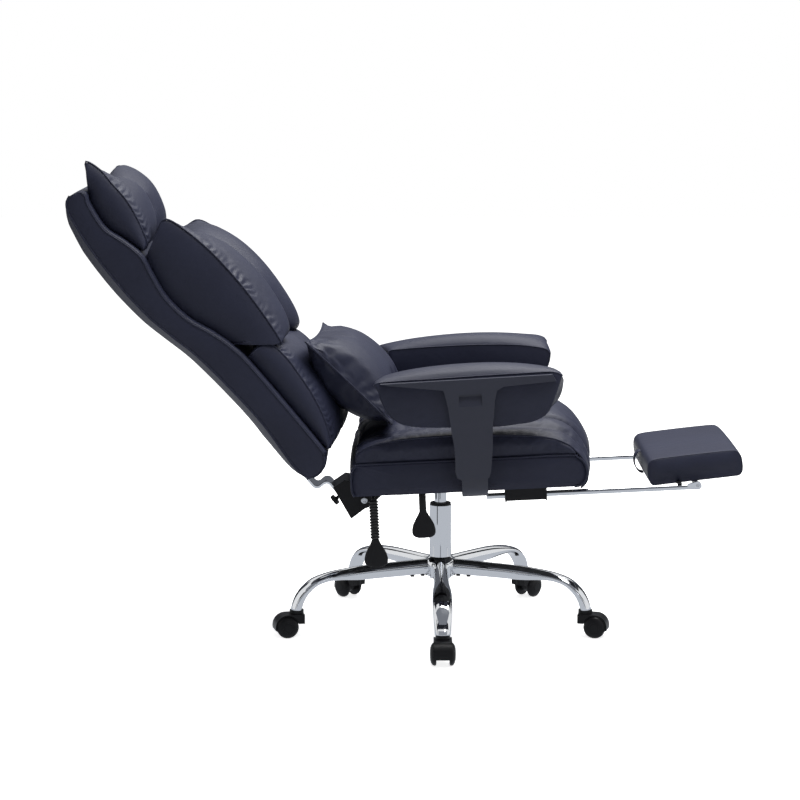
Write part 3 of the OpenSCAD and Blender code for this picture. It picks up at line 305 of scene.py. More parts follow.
# Leg: rings along its axis, joined into a tube. Each ring has its distance from the column,
# height, depth and width in mm, and its slope in degrees.
LEG_RINGS = [
    (30, 140, 36, 32, 0), (62, 139.4, 35.5, 32.5, -1), (120, 138, 34.5, 33.5, -2), (190, 135.7, 32.6, 36, -3),
    (240, 134.5, 24.5, 41, -8), (274, 130.5, 19.5, 43, -16), (302, 121, 19.5, 43, -28),
    (322, 105, 21, 41.5, -46), (333.5, 90, 22.4, 39, -62), (340, 76, 23.4, 36.5, -74),
    (343.5, 63.5, 24, 35.5, -86), (343.5, 62, 22.5, 34, -90),
]
LEG_TURNS = (270, 342, 54, 126, 198)
bpy.ops.object.select_all(action="DESELECT")
leg = None
for r, z, depth, width, slope in curve_through(LEG_RINGS, 4):
    centre = (r / 1000, 0, z / 1000)
    # The circle has a radius of 1 mm, so that millimetres resize it.
    bpy.ops.mesh.primitive_circle_add(
        vertices=40, radius=0.001, location=centre, rotation=(0, math.radians(90 - slope), 0),
    )
    leg = leg or open_piece("leg")
    bpy.ops.transform.resize(
        value=(depth / 2, width / 2, 1), orient_matrix=Matrix.Rotation(math.radians(90 - slope), 3, "Y"),
        orient_matrix_type="GLOBAL", center_override=centre,
    )
bpy.ops.mesh.select_all(action="SELECT")
bpy.ops.mesh.bridge_edge_loops()
bpy.ops.mesh.select_all(action="SELECT")
bpy.ops.mesh.fill_holes(sides=0)
close_piece(leg, chrome)
for number, angle in enumerate(LEG_TURNS, 1):
    leg_tube = copy_piece(leg, f"leg_tube_{number}", Matrix.Rotation(math.radians(angle), 4, "Z"))
    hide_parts(f"base_leg_{number}")
    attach(leg_tube, "base")
bpy.data.objects.remove(leg)

# Powder coat on pressed steel: near black, with a fine orange peel of about 1 mm.
black_coat, tree, shader = finish_of("black powder coated steel")
shader.inputs["Base Color"].default_value = linear("#0E0E11")
shader.inputs["Specular IOR Level"].default_value = 0.2
shader.inputs["Roughness"].default_value = 0.42
spot = add_node(tree, "ShaderNodeTexCoord")
peel = add_node(tree, "ShaderNodeTexNoise", {"Scale": 900.0, "Detail": 2.0}, {"Vector": (spot, "Object")})
peel_bump = add_node(tree, "ShaderNodeBump", {"Strength": 0.25, "Distance": 0.0003}, {"Height": (peel, 0)})
tree.links.new(peel_bump.outputs[0], shader.inputs["Normal"])
dress("leg_screws", black_coat, 0.0008)

# Column: a chromed outer tube with a black plastic guide in its mouth, and the bright gas cylinder inside.
dress("column_tube", chrome, 0.0006)
# Moulded nylon and ABS in black: satin, with a fine spark-eroded texture.
black_nylon, tree, shader = finish_of("black nylon, moulded")
shader.inputs["Base Color"].default_value = linear("#0C0C0F")
shader.inputs["Specular IOR Level"].default_value = 0.2
shader.inputs["Roughness"].default_value = 0.36
spot = add_node(tree, "ShaderNodeTexCoord")
grain = add_node(tree, "ShaderNodeTexNoise", {"Scale": 1300.0, "Detail": 2.0}, {"Vector": (spot, "Object")})
grain_bump = add_node(tree, "ShaderNodeBump", {"Strength": 0.18, "Distance": 0.0002}, {"Height": (grain, 0)})
tree.links.new(grain_bump.outputs[0], shader.inputs["Normal"])
dress("column_bush", black_nylon, 0.001)
# Ground steel: bright, with the fine haze that the grinding wheel leaves.
bright_steel, tree, shader = finish_of("ground steel, bright")
shader.inputs["Base Color"].default_value = linear("#C3C5C8")
shader.inputs["Metallic"].default_value = 1.0
spot = add_node(tree, "ShaderNodeTexCoord")
ground = add_node(tree, "ShaderNodeTexNoise", {"Scale": 1500.0, "Detail": 1.0}, {"Vector": (spot, "Object")})
ground_range = add_node(tree, "ShaderNodeMapRange", {"To Min": 0.14, "To Max": 0.26}, {"Value": (ground, 0)})
tree.links.new(ground_range.outputs[0], shader.inputs["Roughness"])
dress("gas_cylinder", chrome)
dress("piston_rod", bright_steel)
dress("thrust_bearing", bright_steel)
dress("release_button", black_nylon)

# Casters: twin nylon wheels on a steel axle, under a nylon hood that carries the stem.
# The wheels are moulded discs, domed outside, with a pressed-in cap. Each caster has swung a little.
WHEEL = [
    (14.1, 0.02), (14.1, 21.5), (14.8, 23.8), (16.4, 24.9), (18.6, 25), (21, 24.4), (23.4, 22.6),
    (25.4, 19.6), (26.8, 15.8), (27.5, 12.6), (27.6, 11.8), (27, 11.6), (27, 10.9), (27.6, 10.6), (28, 8),
    (28.1, 4), (28.1, 0.02),
]
CASTER_OUT = 0.343
CASTER_TURNS = (0, 4, -6, 8, -4)
wheel = close_piece(turned("wheel", (24, 0, 25), "Y", WHEEL, 64), black_nylon)
mirrored = Matrix.Diagonal((1, -1, 1, 1))
for number, (angle, turn) in enumerate(zip(LEG_TURNS, CASTER_TURNS), 1):
    place = (Matrix.Rotation(math.radians(angle), 4, "Z") @ Matrix.Translation((CASTER_OUT, 0, 0))
             @ Matrix.Rotation(math.radians(turn), 4, "Z"))
    inner = copy_piece(wheel, f"caster_wheel_{number}_left", place)
    outer = copy_piece(wheel, f"caster_wheel_{number}_right", place @ mirrored)
    outer.data.flip_normals()
    for piece in (inner, outer):
        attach(piece, f"wheels_{number}")
    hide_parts(f"caster_wheels_{number}")
    dress(f"caster_fork_{number}", black_nylon, 0.0022, 3)
    dress(f"caster_axle_{number}", bright_steel)
bpy.data.objects.remove(wheel)

# Mechanism and recline hinge: pressed steel under the seat, a plastic housing and a chromed flat bar.
for name in ("mechanism", "hinge_bracket", "rail_guide_right", "rail_guide_left", "footrest_frame"):
    dress(name, black_coat, 0.0012)
for name in ("height_rod", "recline_rod", "arm_bolts"):
    dress(name, black_coat)
dress("hinge_housing", black_nylon, 0.003)
dress("clamp_knob", black_nylon, 0.001)

# Hinge bolt: a bright socket-head bolt through both cheeks, with a black washer under each end.
# Each step has its distance from the middle and its radius in mm.
PIVOT_X, PIVOT_Z = -173.4, 303.4
BOLT = [
    (-60.2, 0.02), (-60.2, 3.4), (-62.4, 3.9), (-62.4, 6.3), (-61.7, 7.2), (-57.4, 7.2), (-57.4, 5),
    (57.4, 5), (57.4, 7.2), (61.7, 7.2), (62.4, 6.3), (62.4, 3.9), (60.2, 3.4), (60.2, 0.02),
]
WASHER = [(-0.8, 7.1), (-0.8, 9.6), (-0.4, 10), (0.8, 10), (0.8, 7.1), (-0.8, 7.1)]
washer = close_piece(turned("hinge_washer_right", (PIVOT_X, -58.2, PIVOT_Z), "Y", WASHER), black_coat)
to_left = Matrix.Rotation(math.pi, 4, "Z") @ Matrix.Translation((-2 * PIVOT_X / 1000, 0, 0))
for piece in (washer, copy_piece(washer, "hinge_washer_left", to_left)):
    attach(piece, "seat")
bolt = close_piece(turned("hinge_bolt_through", (PIVOT_X, 0, PIVOT_Z), "Y", BOLT), bright_steel)
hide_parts("hinge_bolt")
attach(bolt, "seat")
dress("back_bar", chrome, 0.001)
for name in ("footrest_rail_right", "footrest_rail_left"):
    dress(name, chrome)
dress("footrest_shaft", bright_steel)

# Lever grips: bell-shaped paddles of black ABS on a round socket, each moulded in one piece.
# Each level has its height, half width and half thickness in mm, and hangs square to the seat,
# whose underside stands SEAT_LOW mm up at the column and rises to the front.
SEAT_TILT = math.radians(2.75)
SEAT_LOW = 350
GRIP_Y = -0.235
SOCKETS = {
    "height": (-44, "height_lever", [
        (8, 6.6, 6.2), (6, 7.8, 7.4), (-20, 8, 7.5), (-33, 8, 6.2), (-36.3, 8.4, 5.2),
    ]),
    "recline": (-151.5, "recline_lever", [(-92.5, 8, 7.4), (-94.5, 8.6, 6), (-96.3, 9, 5.2)]),
}
BLADE = [
    (7.7, 12.5, 4.7), (17.7, 18.3, 4.5), (28.7, 23.6, 4.5), (38.7, 26, 4.5),
    (46.7, 26, 4.5), (52.5, 23.8, 4.4), (56.4, 18.5, 4), (58, 12, 3.2),
]
for word, (x, body, socket) in SOCKETS.items():
    foot = socket[-1][0]
    levels = socket + [(foot - down, half, thick) for down, half, thick in BLADE]
    bpy.ops.object.select_all(action="DESELECT")
    bpy.ops.mesh.primitive_circle_add(
        vertices=24, radius=levels[0][1] / 1000, fill_type="NGON",
        location=(x / 1000, GRIP_Y, levels[0][0] / 1000),
    )
    grip = open_piece(f"{word}_lever_grip")
    for (at, half, thick), (ahead, wide, deep) in zip(levels, levels[1:]):
        bpy.ops.mesh.extrude_region_move(TRANSFORM_OT_translate={"value": (0, 0, (ahead - at) / 1000)})
        bpy.ops.transform.resize(
            value=(wide / half, deep / thick, 1), center_override=(x / 1000, GRIP_Y, ahead / 1000),
        )
    close_piece(grip, black_nylon, 0.0012)
    grip.data.transform(Matrix.Translation((0, 0, SEAT_LOW / 1000)) @ Matrix.Rotation(-SEAT_TILT, 4, "Y"))
    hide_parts(f"{word}_paddle")
    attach(grip, body)

# Bellows over the recline lever's stem, and the plywood board under the seat.
# Moulded rubber: dull and black, with nothing on it that shows.
rubber, tree, shader = finish_of("black rubber, moulded")
shader.inputs["Base Color"].default_value = linear("#121214")
shader.inputs["Roughness"].default_value = 0.6
dress("recline_bellows", rubber, 0.0004)
# Stained plywood: dull and black, as its face is sealed and not polished.
plywood, tree, shader = finish_of("plywood stained black")
shader.inputs["Base Color"].default_value = linear("#1B1B1D")
shader.inputs["Roughness"].default_value = 0.7
dress("seat_board", plywood, 0.001)

# Coated leather: polyurethane on cloth, dark navy, with a grain of about 1.5 mm and soft creases.
# It is satin, with little sheen, and its tone drifts a little over a hand's breadth.
leather, tree, shader = finish_of("navy coated leather, grained")
shader.inputs["Roughness"].default_value = 0.5
shader.inputs["Specular IOR Level"].default_value = 0.18
spot = add_node(tree, "ShaderNodeTexCoord")
cloud = add_node(tree, "ShaderNodeTexNoise", {"Scale": 9.0, "Detail": 4.0}, {"Vector": (spot, "Object")})
tint = add_node(tree, "ShaderNodeMix", links={"Factor": (cloud, 0)}, data_type="RGBA")
tint.inputs[6].default_value = linear("#1B1D2B")
tint.inputs[7].default_value = linear("#222536")
tree.links.new(tint.outputs[2], shader.inputs["Base Color"])
pebble = add_node(
    tree, "ShaderNodeTexVoronoi", {"Scale": 620.0}, {"Vector": (spot, "Object")}, feature="DISTANCE_TO_EDGE",
)
crease = add_node(
    tree, "ShaderNodeTexNoise", {"Scale": 38.0, "Detail": 3.0, "Distortion": 0.6},
    {"Vector": (spot, "Object")},
)
grain_bump = add_node(tree, "ShaderNodeBump", {"Strength": 0.22, "Distance": 0.0004}, {"Height": (pebble, 0)})
crease_bump = add_node(
    tree, "ShaderNodeBump", {"Strength": 0.16, "Distance": 0.004},
    {"Height": (crease, 0), "Normal": (grain_bump, 0)},
)
tree.links.new(crease_bump.outputs[0], shader.inputs["Normal"])

# Arm posts: T-shaped posts with a bent foot, moulded in ABS tinted to go with the leather, satin.
blue_plastic, tree, shader = finish_of("blue-grey ABS, moulded")
shader.inputs["Base Color"].default_value = linear("#191C2C")
shader.inputs["Roughness"].default_value = 0.45
for name in ("arm_post_right", "arm_post_left"):
    dress(name, blue_plastic, 0.002)


# Back: a foam body under coated leather, with flat side panels and a crowned rear panel.
# Piping is sewn between them, round both side panels. The back leans back by RECLINE.
RECLINE = math.radians(40)


def in_back(f, y, u):
    """A point of the back in metres: f ahead of the recline pivot, y to the left, u along the back; in mm."""
    return (
        (PIVOT_X + f * math.cos(RECLINE) - u * math.sin(RECLINE)) / 1000,
        y / 1000,
        (PIVOT_Z + f * math.sin(RECLINE) + u * math.cos(RECLINE)) / 1000,
    )


def skin(name, sheets, material, caps=()):
    """One mesh from sheets of points in metres, welded where they meet, with rings in caps closed."""
    shape = bmesh.new()
    for sheet in sheets:
        rows = [[shape.verts.new(point) for point in row] for row in sheet]
        for near, far in zip(rows, rows[1:]):
            for j in range(len(near) - 1):
                shape.faces.new((near[j], far[j], far[j + 1], near[j + 1]))
    for ring in caps:
        shape.faces.new([shape.verts.new(point) for point in ring])
    bmesh.ops.remove_doubles(shape, verts=shape.verts, dist=0.0003)
    bmesh.ops.recalc_face_normals(shape, faces=shape.faces)
    mesh = bpy.data.meshes.new(name)
    shape.to_mesh(mesh)
    shape.free()
    mesh.shade_smooth()
    mesh.materials.append(material)
    piece = bpy.data.objects.new(name, mesh)
    bpy.context.scene.collection.objects.link(piece)
    return piece


def even(line, count):
    """The same line with count points, evenly spaced."""
    line = np.array(line, float)
    run = np.r_[0, np.cumsum(np.linalg.norm(np.diff(line, axis=0), axis=1))]
    places = np.linspace(0, run[-1], count)
    return np.stack([np.interp(places, run, line[:, k]) for k in range(line.shape[1])], 1)


def piping(name, line, radius, material, body, closed=False):
    """A sewn cord under leather along a line of points in metres."""
    data = bpy.data.curves.new(name, "CURVE")
    data.dimensions = "3D"
    data.bevel_depth = radius
    data.bevel_resolution = 2
    data.use_fill_caps = True
    spline = data.splines.new("POLY")
    spline.points.add(len(line) - 1)
    for point, place in zip(spline.points, line):
        point.co = (*place, 1)
    spline.use_cyclic_u = closed
    cord = bpy.data.objects.new(name, data)
    bpy.context.scene.collection.objects.link(cord)
    bpy.ops.object.select_all(action="DESELECT")
    cord.select_set(True)
    bpy.context.view_layer.objects.active = cord
    bpy.ops.object.convert(target="MESH")
    cord = bpy.context.object
    cord.data.materials.clear()
    cord.data.materials.append(material)
    cord.data.shade_smooth()
    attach(cord, body)
    return cord


BACK_HALF = 255
ALONG = 120
# Front edge and piping line of a side panel, from the lower end to the top
SHELL_FRONT = curve_through([
    (-34, 142), (-19, 137.2), (-2.7, 135), (10, 138.6), (21, 147.6), (28, 160), (33, 182), (34, 402),
    (28, 470), (14, 522), (-6, 578), (-12, 642), (-3, 698), (7, 746), (-2, 794), (-15, 842), (-7, 900),
    (2, 920), (0, 931), (-12, 938),
], 6)
SHELL_PIPING = curve_through([
    (-37, 147.6), (-43, 186), (-34, 314), (-44, 482), (-60, 570), (-71, 634), (-75, 710), (-74, 778),
    (-69, 840), (-62, 885), (-56, 915), (-45, 934), (-30, 941),
], 6)
shell_front, shell_rear = even(SHELL_FRONT, ALONG + 1), even(SHELL_PIPING, ALONG + 1)
# The front edge is rounded over EDGE mm across and a share EDGE_DEEP of that in depth.
EDGE, EDGE_DEEP = 11, 0.6
shell_sheets = []
for side in (-1, 1):
    sheet = []
    for turn in np.linspace(0, math.pi / 2, 6):
        y = side * (BACK_HALF - EDGE * (1 - math.sin(turn)))
        sheet.append([in_back(f - EDGE * (1 - math.cos(turn)) * EDGE_DEEP, y, u) for f, u in shell_front])
    for w in np.linspace(0, 1, 17)[1:]:
        puff = 3.5 * math.sin(math.pi * w) ** 0.7 if w < 1 else 0
        sheet.append([
            in_back((f - EDGE * EDGE_DEEP) * (1 - w) + g * w, side * (BACK_HALF + puff), u * (1 - w) + v * w)
            for (f, u), (g, v) in zip(shell_front, shell_rear)
        ])
    shell_sheets.append(sheet)
inner = BACK_HALF - EDGE
shell_sheets.append([[in_back(f, y, u) for f, u in shell_front] for y in np.linspace(-inner, inner, 25)])
for front, rear in ((shell_front[0], shell_rear[0]), (shell_front[-1], shell_rear[-1])):
    shell_sheets.append([
        [in_back(front[0] * (1 - w) + rear[0] * w, y, front[1] * (1 - w) + rear[1] * w)
         for w in np.linspace(0, 1, 9)]
        for y in np.linspace(-inner, inner, 25)
    ])
back_body = skin("back_body_cover", shell_sheets, leather)
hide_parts("back_shell")
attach(back_body, "back")

# Rear panel: one crowned sheet from piping to piping, fullest over the shoulders.
# It bulges by REAR_FULL mm and starts REAR_OFF mm behind the side panels.
REAR_FULL, REAR_OFF = 42, 0.3
REAR_BULGE = [(0, 0.7), (0.15, 1), (0.5, 1), (0.7, 1.1), (0.85, 1.1), (0.93, 0.95), (1, 0.45)]
panel_rows = []
for across in np.sin(np.linspace(-1, 1, 49) * math.pi / 2):
    row = []
    for i, (f, u) in enumerate(shell_rear):
        share = np.interp(i / ALONG, *zip(*REAR_BULGE))
        full = REAR_FULL * share * (1 - abs(across) ** 2.2)
        row.append(in_back(f - REAR_OFF - full, across * BACK_HALF, u))
    panel_rows.append(row)
lids = []
for end in (0, -1):
    f, u = shell_rear[end]
    straight = [in_back(f - REAR_OFF, row[0][1] * 1000, u) for row in panel_rows]
    lids.append([straight, [row[end] for row in panel_rows]])
rear_cover = skin("back_rear_cover", [panel_rows] + lids, leather)
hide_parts("back_panel")
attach(rear_cover, "back")
for side, word in ((-1, "right"), (1, "left")):
    rear_seam = [in_back(f, side * (BACK_HALF + 0.5), u) for f, u in shell_rear]
    front_seam = [in_back(f - 7, side * (BACK_HALF + 0.8), u) for f, u in shell_front[2:-1]]
    piping(f"back_piping_{word}", rear_seam, 0.0024, leather, "back")
    piping(f"back_front_piping_{word}", front_seam, 0.0016, leather, "back")


# Head, shoulder and lumbar cushions: fibre filled, sewn to the front of the back along their edges.
# Each has a leaf-shaped end panel and a front panel gathered into the end seam, in two lobes.
def puff_up(piece, held, pressure, spare, cap, gathered=(), gather=0.0, bend=0.5, reach=0.004, frames=20):
    """Cloth simulation: fills the piece with air while the points in held stay where they are.

    spare is the loose share of cloth all over. gather is the share added at the lines in gathered, and it
    fades over 5 cm. No point moves further than cap, and points within reach of a held one are held too.
    """
    tree = KDTree(len(held))
    for number, point in enumerate(held):
        tree.insert(Vector(point), number)
    tree.balance()
    pins = piece.vertex_groups.new(name="sewn")
    pins.add([v.index for v in piece.data.vertices if tree.find(v.co)[2] < reach], 1.0, "REPLACE")
    before = np.array([v.co for v in piece.data.vertices])
    cloth = piece.modifiers.new("cloth", "CLOTH")
    cloth.settings.quality = 5
    cloth.settings.mass = 0.3
    cloth.settings.use_pressure = True
    cloth.settings.uniform_pressure_force = pressure
    cloth.settings.shrink_min = -spare
    if len(gathered):
        lines = KDTree(len(gathered))
        for number, point in enumerate(gathered):
            lines.insert(Vector(point), number)
        lines.balance()
        loose = piece.vertex_groups.new(name="gathered")
        for vertex in piece.data.vertices:
            loose.add([vertex.index], max(0.0, 1 - lines.find(vertex.co)[2] / 0.05), "REPLACE")
        cloth.settings.vertex_group_shrink = "gathered"
        cloth.settings.shrink_max = -spare - gather
    cloth.settings.tension_stiffness = 15
    cloth.settings.compression_stiffness = 15
    cloth.settings.shear_stiffness = 5
    cloth.settings.bending_stiffness = bend
    cloth.settings.vertex_group_mass = "sewn"
    cloth.settings.effector_weights.gravity = 0
    cloth.point_cache.frame_start = 1
    cloth.point_cache.frame_end = frames
    for number in range(1, frames + 1):
        bpy.context.scene.frame_set(number)
    filled = piece.evaluated_get(bpy.context.evaluated_depsgraph_get())
    after = np.array([v.co for v in filled.data.vertices])
    piece.modifiers.clear()
    bpy.context.scene.frame_set(1)
    step = after - before
    step *= np.minimum(1, cap / np.maximum(np.linalg.norm(step, axis=1), 1e-9))[:, None]
    piece.data.vertices.foreach_set("co", (before + step).ravel())
    piece.data.update()
    piece.vertex_groups.clear()


def smooth_out(piece):
    """One subdivision of a filled cover, applied."""
    for other in bpy.context.selected_objects:
        other.select_set(False)
    piece.select_set(True)
    bpy.context.view_layer.objects.active = piece
    finer = piece.modifiers.new("finer", "SUBSURF")
    finer.levels = finer.render_levels = 1
    bpy.ops.object.modifier_apply(modifier="finer")
    piece.data.shade_smooth()


def shirr(piece, seam, spacing, depth, reach):
    """Draws a cover up along a seam into small folds, with their spacing, depth and reach in metres."""
    seam = [Vector(point) for point in seam]
    run = [0.0]
    for near, far in zip(seam, seam[1:]):
        run.append(run[-1] + (far - near).length)
    tree = KDTree(len(seam))
    for number, point in enumerate(seam):
        tree.insert(point, number)
    tree.balance()
    for vertex in piece.data.vertices:
        _, number, away = tree.find(vertex.co)
        if away > reach or abs(vertex.co.y) > abs(seam[number].y) + 0.0004:
            continue
        near, far = seam[max(number - 1, 0)], seam[min(number + 1, len(seam) - 1)]
        along = run[number] + (vertex.co - seam[number]).dot((far - near).normalized())
        # The folds wander and are not all as deep. They start at the stitches and fade out over their reach.
        wander = noise(Vector((along / 0.045, 3.1, away / 0.03)))
        fold = math.sin(2 * math.pi * along / spacing + 7.0 * wander)
        fine = math.cos(2 * math.pi * 2 * along / spacing)
        strength = 0.45 + 0.55 * noise(Vector((along / 0.06, 7.7, 0.0)))
        strength += 0.25 * noise(Vector((along / 0.016, 1.3, 0.0)))
        fade = min(1.0, away / 0.006) * (1 - away / reach) ** 1.3
        vertex.co += vertex.normal * depth * fade * max(0.15, strength) * (fold - 0.35 * fine)
    piece.data.update()


CUSHION_HALF = 232
# The back's front edge between its rounded ends
FACE = SHELL_FRONT[34:-10]


def shell_at(u):
    """How far ahead of the pivot a cushion starts at u, half a millimetre off the back's front face."""
    return np.interp(u, FACE[:, 1], FACE[:, 0]) + 0.5


def back_cushion(name, node, foot, head, outlines, tall, wide):
    """A cushion from five outlines: near seam, near lobe, middle, far lobe, far seam, from foot to head."""
    near_seam, near_lobe, middle, far_lobe, far_seam = (
        curve_through([(shell_at(foot), foot)] + line + [(shell_at(head), head)], 8) for line in outlines
    )
    front = []
    for t in np.linspace(-1, 1, wide + 1):
        seam, lobe = (near_seam, near_lobe) if t < 0 else (far_seam, far_lobe)
        out = abs(t)
        if out > 0.5:
            line = seam + (lobe - seam) * math.sin(math.pi * (1 - out))
        else:
            line = lobe + (middle - lobe) * (1 - math.cos(math.pi * (0.5 - out)))
        front.append([in_back(f, t * CUSHION_HALF, u) for f, u in even(line, tall + 1)])
    sheets, held = [front], front[0] + front[-1] + [row[0] for row in front] + [row[-1] for row in front]
    for side, seam in ((-1, near_seam), (1, far_seam)):
        sheet = []
        for w in np.linspace(0, 1, 15):
            y = side * (CUSHION_HALF + (11 * math.sin(math.pi * w) ** 0.8 if 0 < w < 1 else 0))
            row = []
            for f, u in even(seam, tall + 1):
                v = min(max(u, foot), head)
                row.append(in_back(f + (shell_at(v) - f) * w, y, u + (v - u) * w))
            sheet.append(row)
        sheets.append(sheet)
        held += [point for row in sheet for point in row]
    piece = skin(name, sheets, leather)
    puff_up(piece, held, 4.0, 0.01, 0.022, front[0] + front[-1], 0.14, bend=0.15)
    smooth_out(piece)
    for seam in (front[0], front[-1]):
        shirr(piece, seam, 0.015, 0.0036, 0.046)
    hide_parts(node)
    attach(piece, "back")
    for word, row in (("right", front[0]), ("left", front[-1])):
        piping(f"{name}_piping_{word}", row, 0.002, leather, "back")


back_cushion("head_cushion_cover", "head_cushion", 754, 920, [
    [(24, 752), (36, 776), (50, 826), (55, 865), (54, 905), (54, 942), (43, 975), (30, 958), (14, 935)],
    [(32, 757), (56, 784), (71, 826), (76, 860), (70, 888), (57, 909), (41, 922), (26, 925), (12, 925)],
    [(24, 759), (36, 783), (48, 818), (50, 850), (48, 878), (42, 902), (30, 917), (20, 922), (10, 922)],
    [(32, 757), (54, 784), (69, 822), (75, 858), (70, 892), (58, 920), (42, 936), (28, 934), (10, 928)],
    [(24, 757), (36, 780), (48, 820), (53, 858), (52, 890), (46, 915), (35, 934), (24, 936), (10, 926)],
], 46, 66)
back_cushion("shoulder_cushion_cover", "shoulder_cushion", 470, 735.6, [
    [(48, 461), (72, 450), (95, 425), (107, 401), (114, 424), (121, 487),
     (125, 563), (122, 651), (110, 724), (93, 771), (64, 764), (36, 745)],
    [(50, 446), (84, 427.6), (108, 403.6), (125, 408), (138, 438), (146, 498),
     (148, 563), (143, 630), (128, 682), (105, 716), (72, 730), (36, 734)],
    [(36, 454.8), (50, 446.8), (66, 440), (80, 438.8), (90, 451.6), (97, 498),
     (99, 563), (96, 626), (86, 674), (70, 702), (50, 716), (28, 726)],
    [(50, 438), (84, 412), (107, 386), (123, 386), (138, 418), (147, 482),
     (150, 555), (144, 622), (127, 674), (104, 706), (72, 720), (36, 731)],
    [(50, 444), (80, 418), (97, 392), (107, 388), (116, 412), (124, 478),
     (126, 560), (120, 640), (108, 692), (92, 722), (64, 728), (36, 735)],
], 72, 66)
back_cushion("lumbar_cushion_cover", "lumbar_cushion", 170, 427.6, [
    [(46, 163), (71, 213), (87, 272), (94, 326), (97, 376), (88, 426), (60, 433)],
    [(58, 158), (88, 188), (107, 250), (115, 318), (113, 370), (100, 406), (70, 426)],
    [(58, 148), (90, 176), (110, 242), (118, 318), (116, 370), (103, 406), (71, 427)],
    [(58, 148), (90, 176), (108, 242), (116, 318), (113, 370), (100, 406), (70, 426)],
    [(48, 152), (76, 194), (90, 262), (95, 326), (97, 372), (86, 408), (62, 428)],
], 56, 66)

# The lumbar cushion and its piping get meshes of their own, as with the back upright the seat pushes the foot
# of the cushion up.
for name in ("lumbar_cushion_cover", "lumbar_cushion_cover_piping_right", "lumbar_cushion_cover_piping_left"):
    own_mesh(bpy.data.objects[name])

# Lumbar pillow: loose, fibre filled, in two leather faces with piping round the edge.
# It lies against the lumbar cushion, its corners drawn out and its sides drawn in. It leans by PILLOW_TURN,
# and its left end has slipped ahead and down.
PILLOW_LONG, PILLOW_TALL, PILLOW_THICK = 404, 262, 117
PILLOW_AHEAD, PILLOW_UP = 169.3, 230.2
PILLOW_TURN = math.radians(6.1)
pillow_faces = []
for side in (-1, 1):
    sheet = []
    for a in np.sin(np.linspace(-1, 1, 65) * math.pi / 2):
        row = []
        for b in np.sin(np.linspace(-1, 1, 45) * math.pi / 2):
            y = a * PILLOW_LONG / 2 * (1 - 0.055 * (1 - b * b))
            up = b * PILLOW_TALL / 2 * (1 - 0.075 * (1 - a * a))
            thick = PILLOW_THICK / 2 * ((1 - abs(a) ** 4) * (1 - b * b)) ** 0.62
            f = PILLOW_AHEAD + 7.9 * a + side * thick * math.cos(PILLOW_TURN) - up * math.sin(PILLOW_TURN)
            u = PILLOW_UP - 11 * a + up * math.cos(PILLOW_TURN) + side * thick * math.sin(PILLOW_TURN)
            row.append(in_back(f, y, u))
        sheet.append(row)
    pillow_faces.append(sheet)
rim = pillow_faces[0]
pillow_edge = rim[0] + [row[-1] for row in rim[1:]] + rim[-1][-2::-1] + [row[0] for row in rim[-2:0:-1]]
pillow = skin("lumbar_pillow_cover", pillow_faces, leather)
puff_up(pillow, pillow_edge, 2.5, 0.05, 0.012)
smooth_out(pillow)
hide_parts("lumbar_pillow")
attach(pillow, "pillow")
pillow_piping = piping("lumbar_pillow_piping", pillow_edge, 0.002, leather, "pillow", closed=True)
# The pillow and its piping get meshes of their own, as with the back upright the pillow is pressed up too.
for piece in (pillow, pillow_piping):
    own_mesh(piece)


# Seat: a boxed foam base with piping round its side panels, on a plywood board.
def in_seat(x, y, z):
    """A point of the seat in metres: x ahead of the column, y to the left, z above the underside; in mm."""
    return (
        (x * math.cos(SEAT_TILT) - z * math.sin(SEAT_TILT)) / 1000,
        y / 1000,
        (SEAT_LOW + x * math.sin(SEAT_TILT) + z * math.cos(SEAT_TILT)) / 1000,
    )


SEAT_HALF = 255
BOX_LOW = 7.8
BOX_POINTS = 140
BOX_SIDE = curve_through([
    (-191.9, BOX_LOW), (-196.5, 18), (-197.4, 39), (-195, 62), (-186, 74), (-168, 78), (50, 78), (272, 78),
    (298, 72.5), (312, 60), (317.5, 40), (314, 22), (304, 11), (289, BOX_LOW),
], 6)
BOX_MID = curve_through([
    (-196, BOX_LOW), (-201, 18), (-203.6, 39), (-201, 62), (-189.5, 74), (-168, 78), (50, 78), (272, 78),
    (305, 74), (321, 61), (327, 40), (324, 20), (313, 10), (297, BOX_LOW),
], 6)
# A notch in the rear lower edge leaves room for the hinge housing when the back is upright.
NOTCH_HALF, NOTCH_TOP, NOTCH_FRONT = 62, 25, -150
box_rows = []
for t in np.sin(np.linspace(-1, 1, 41) * math.pi / 2):
    line = BOX_SIDE + (BOX_MID - BOX_SIDE) * (1 - abs(t) ** 2.5)
    low = NOTCH_TOP if abs(t) * SEAT_HALF < NOTCH_HALF else BOX_LOW
    box_rows.append([
        (x, t * SEAT_HALF, max(z, low) if x < NOTCH_FRONT else z) for x, z in even(line, BOX_POINTS)
    ])
# The side panels are fans from the outline to a point on the lower edge, a little full inside the piping.
FAN_X = 60
box_panels = []
for side in (-1, 1):
    panel = []
    for w in np.linspace(0, 1, 13):
        full = 4.0 * math.sin(math.pi / 2 * min(1, w * 2.5))
        ring = []
        for x, z in even(BOX_SIDE, BOX_POINTS):
            up = (z - BOX_LOW) * (1 - w)
            y = side * (SEAT_HALF + full * min(1, up / 14))
            ring.append((FAN_X + (x - FAN_X) * (1 - w), y, BOX_LOW + up))
        panel.append(ring)
    box_panels.append(panel)
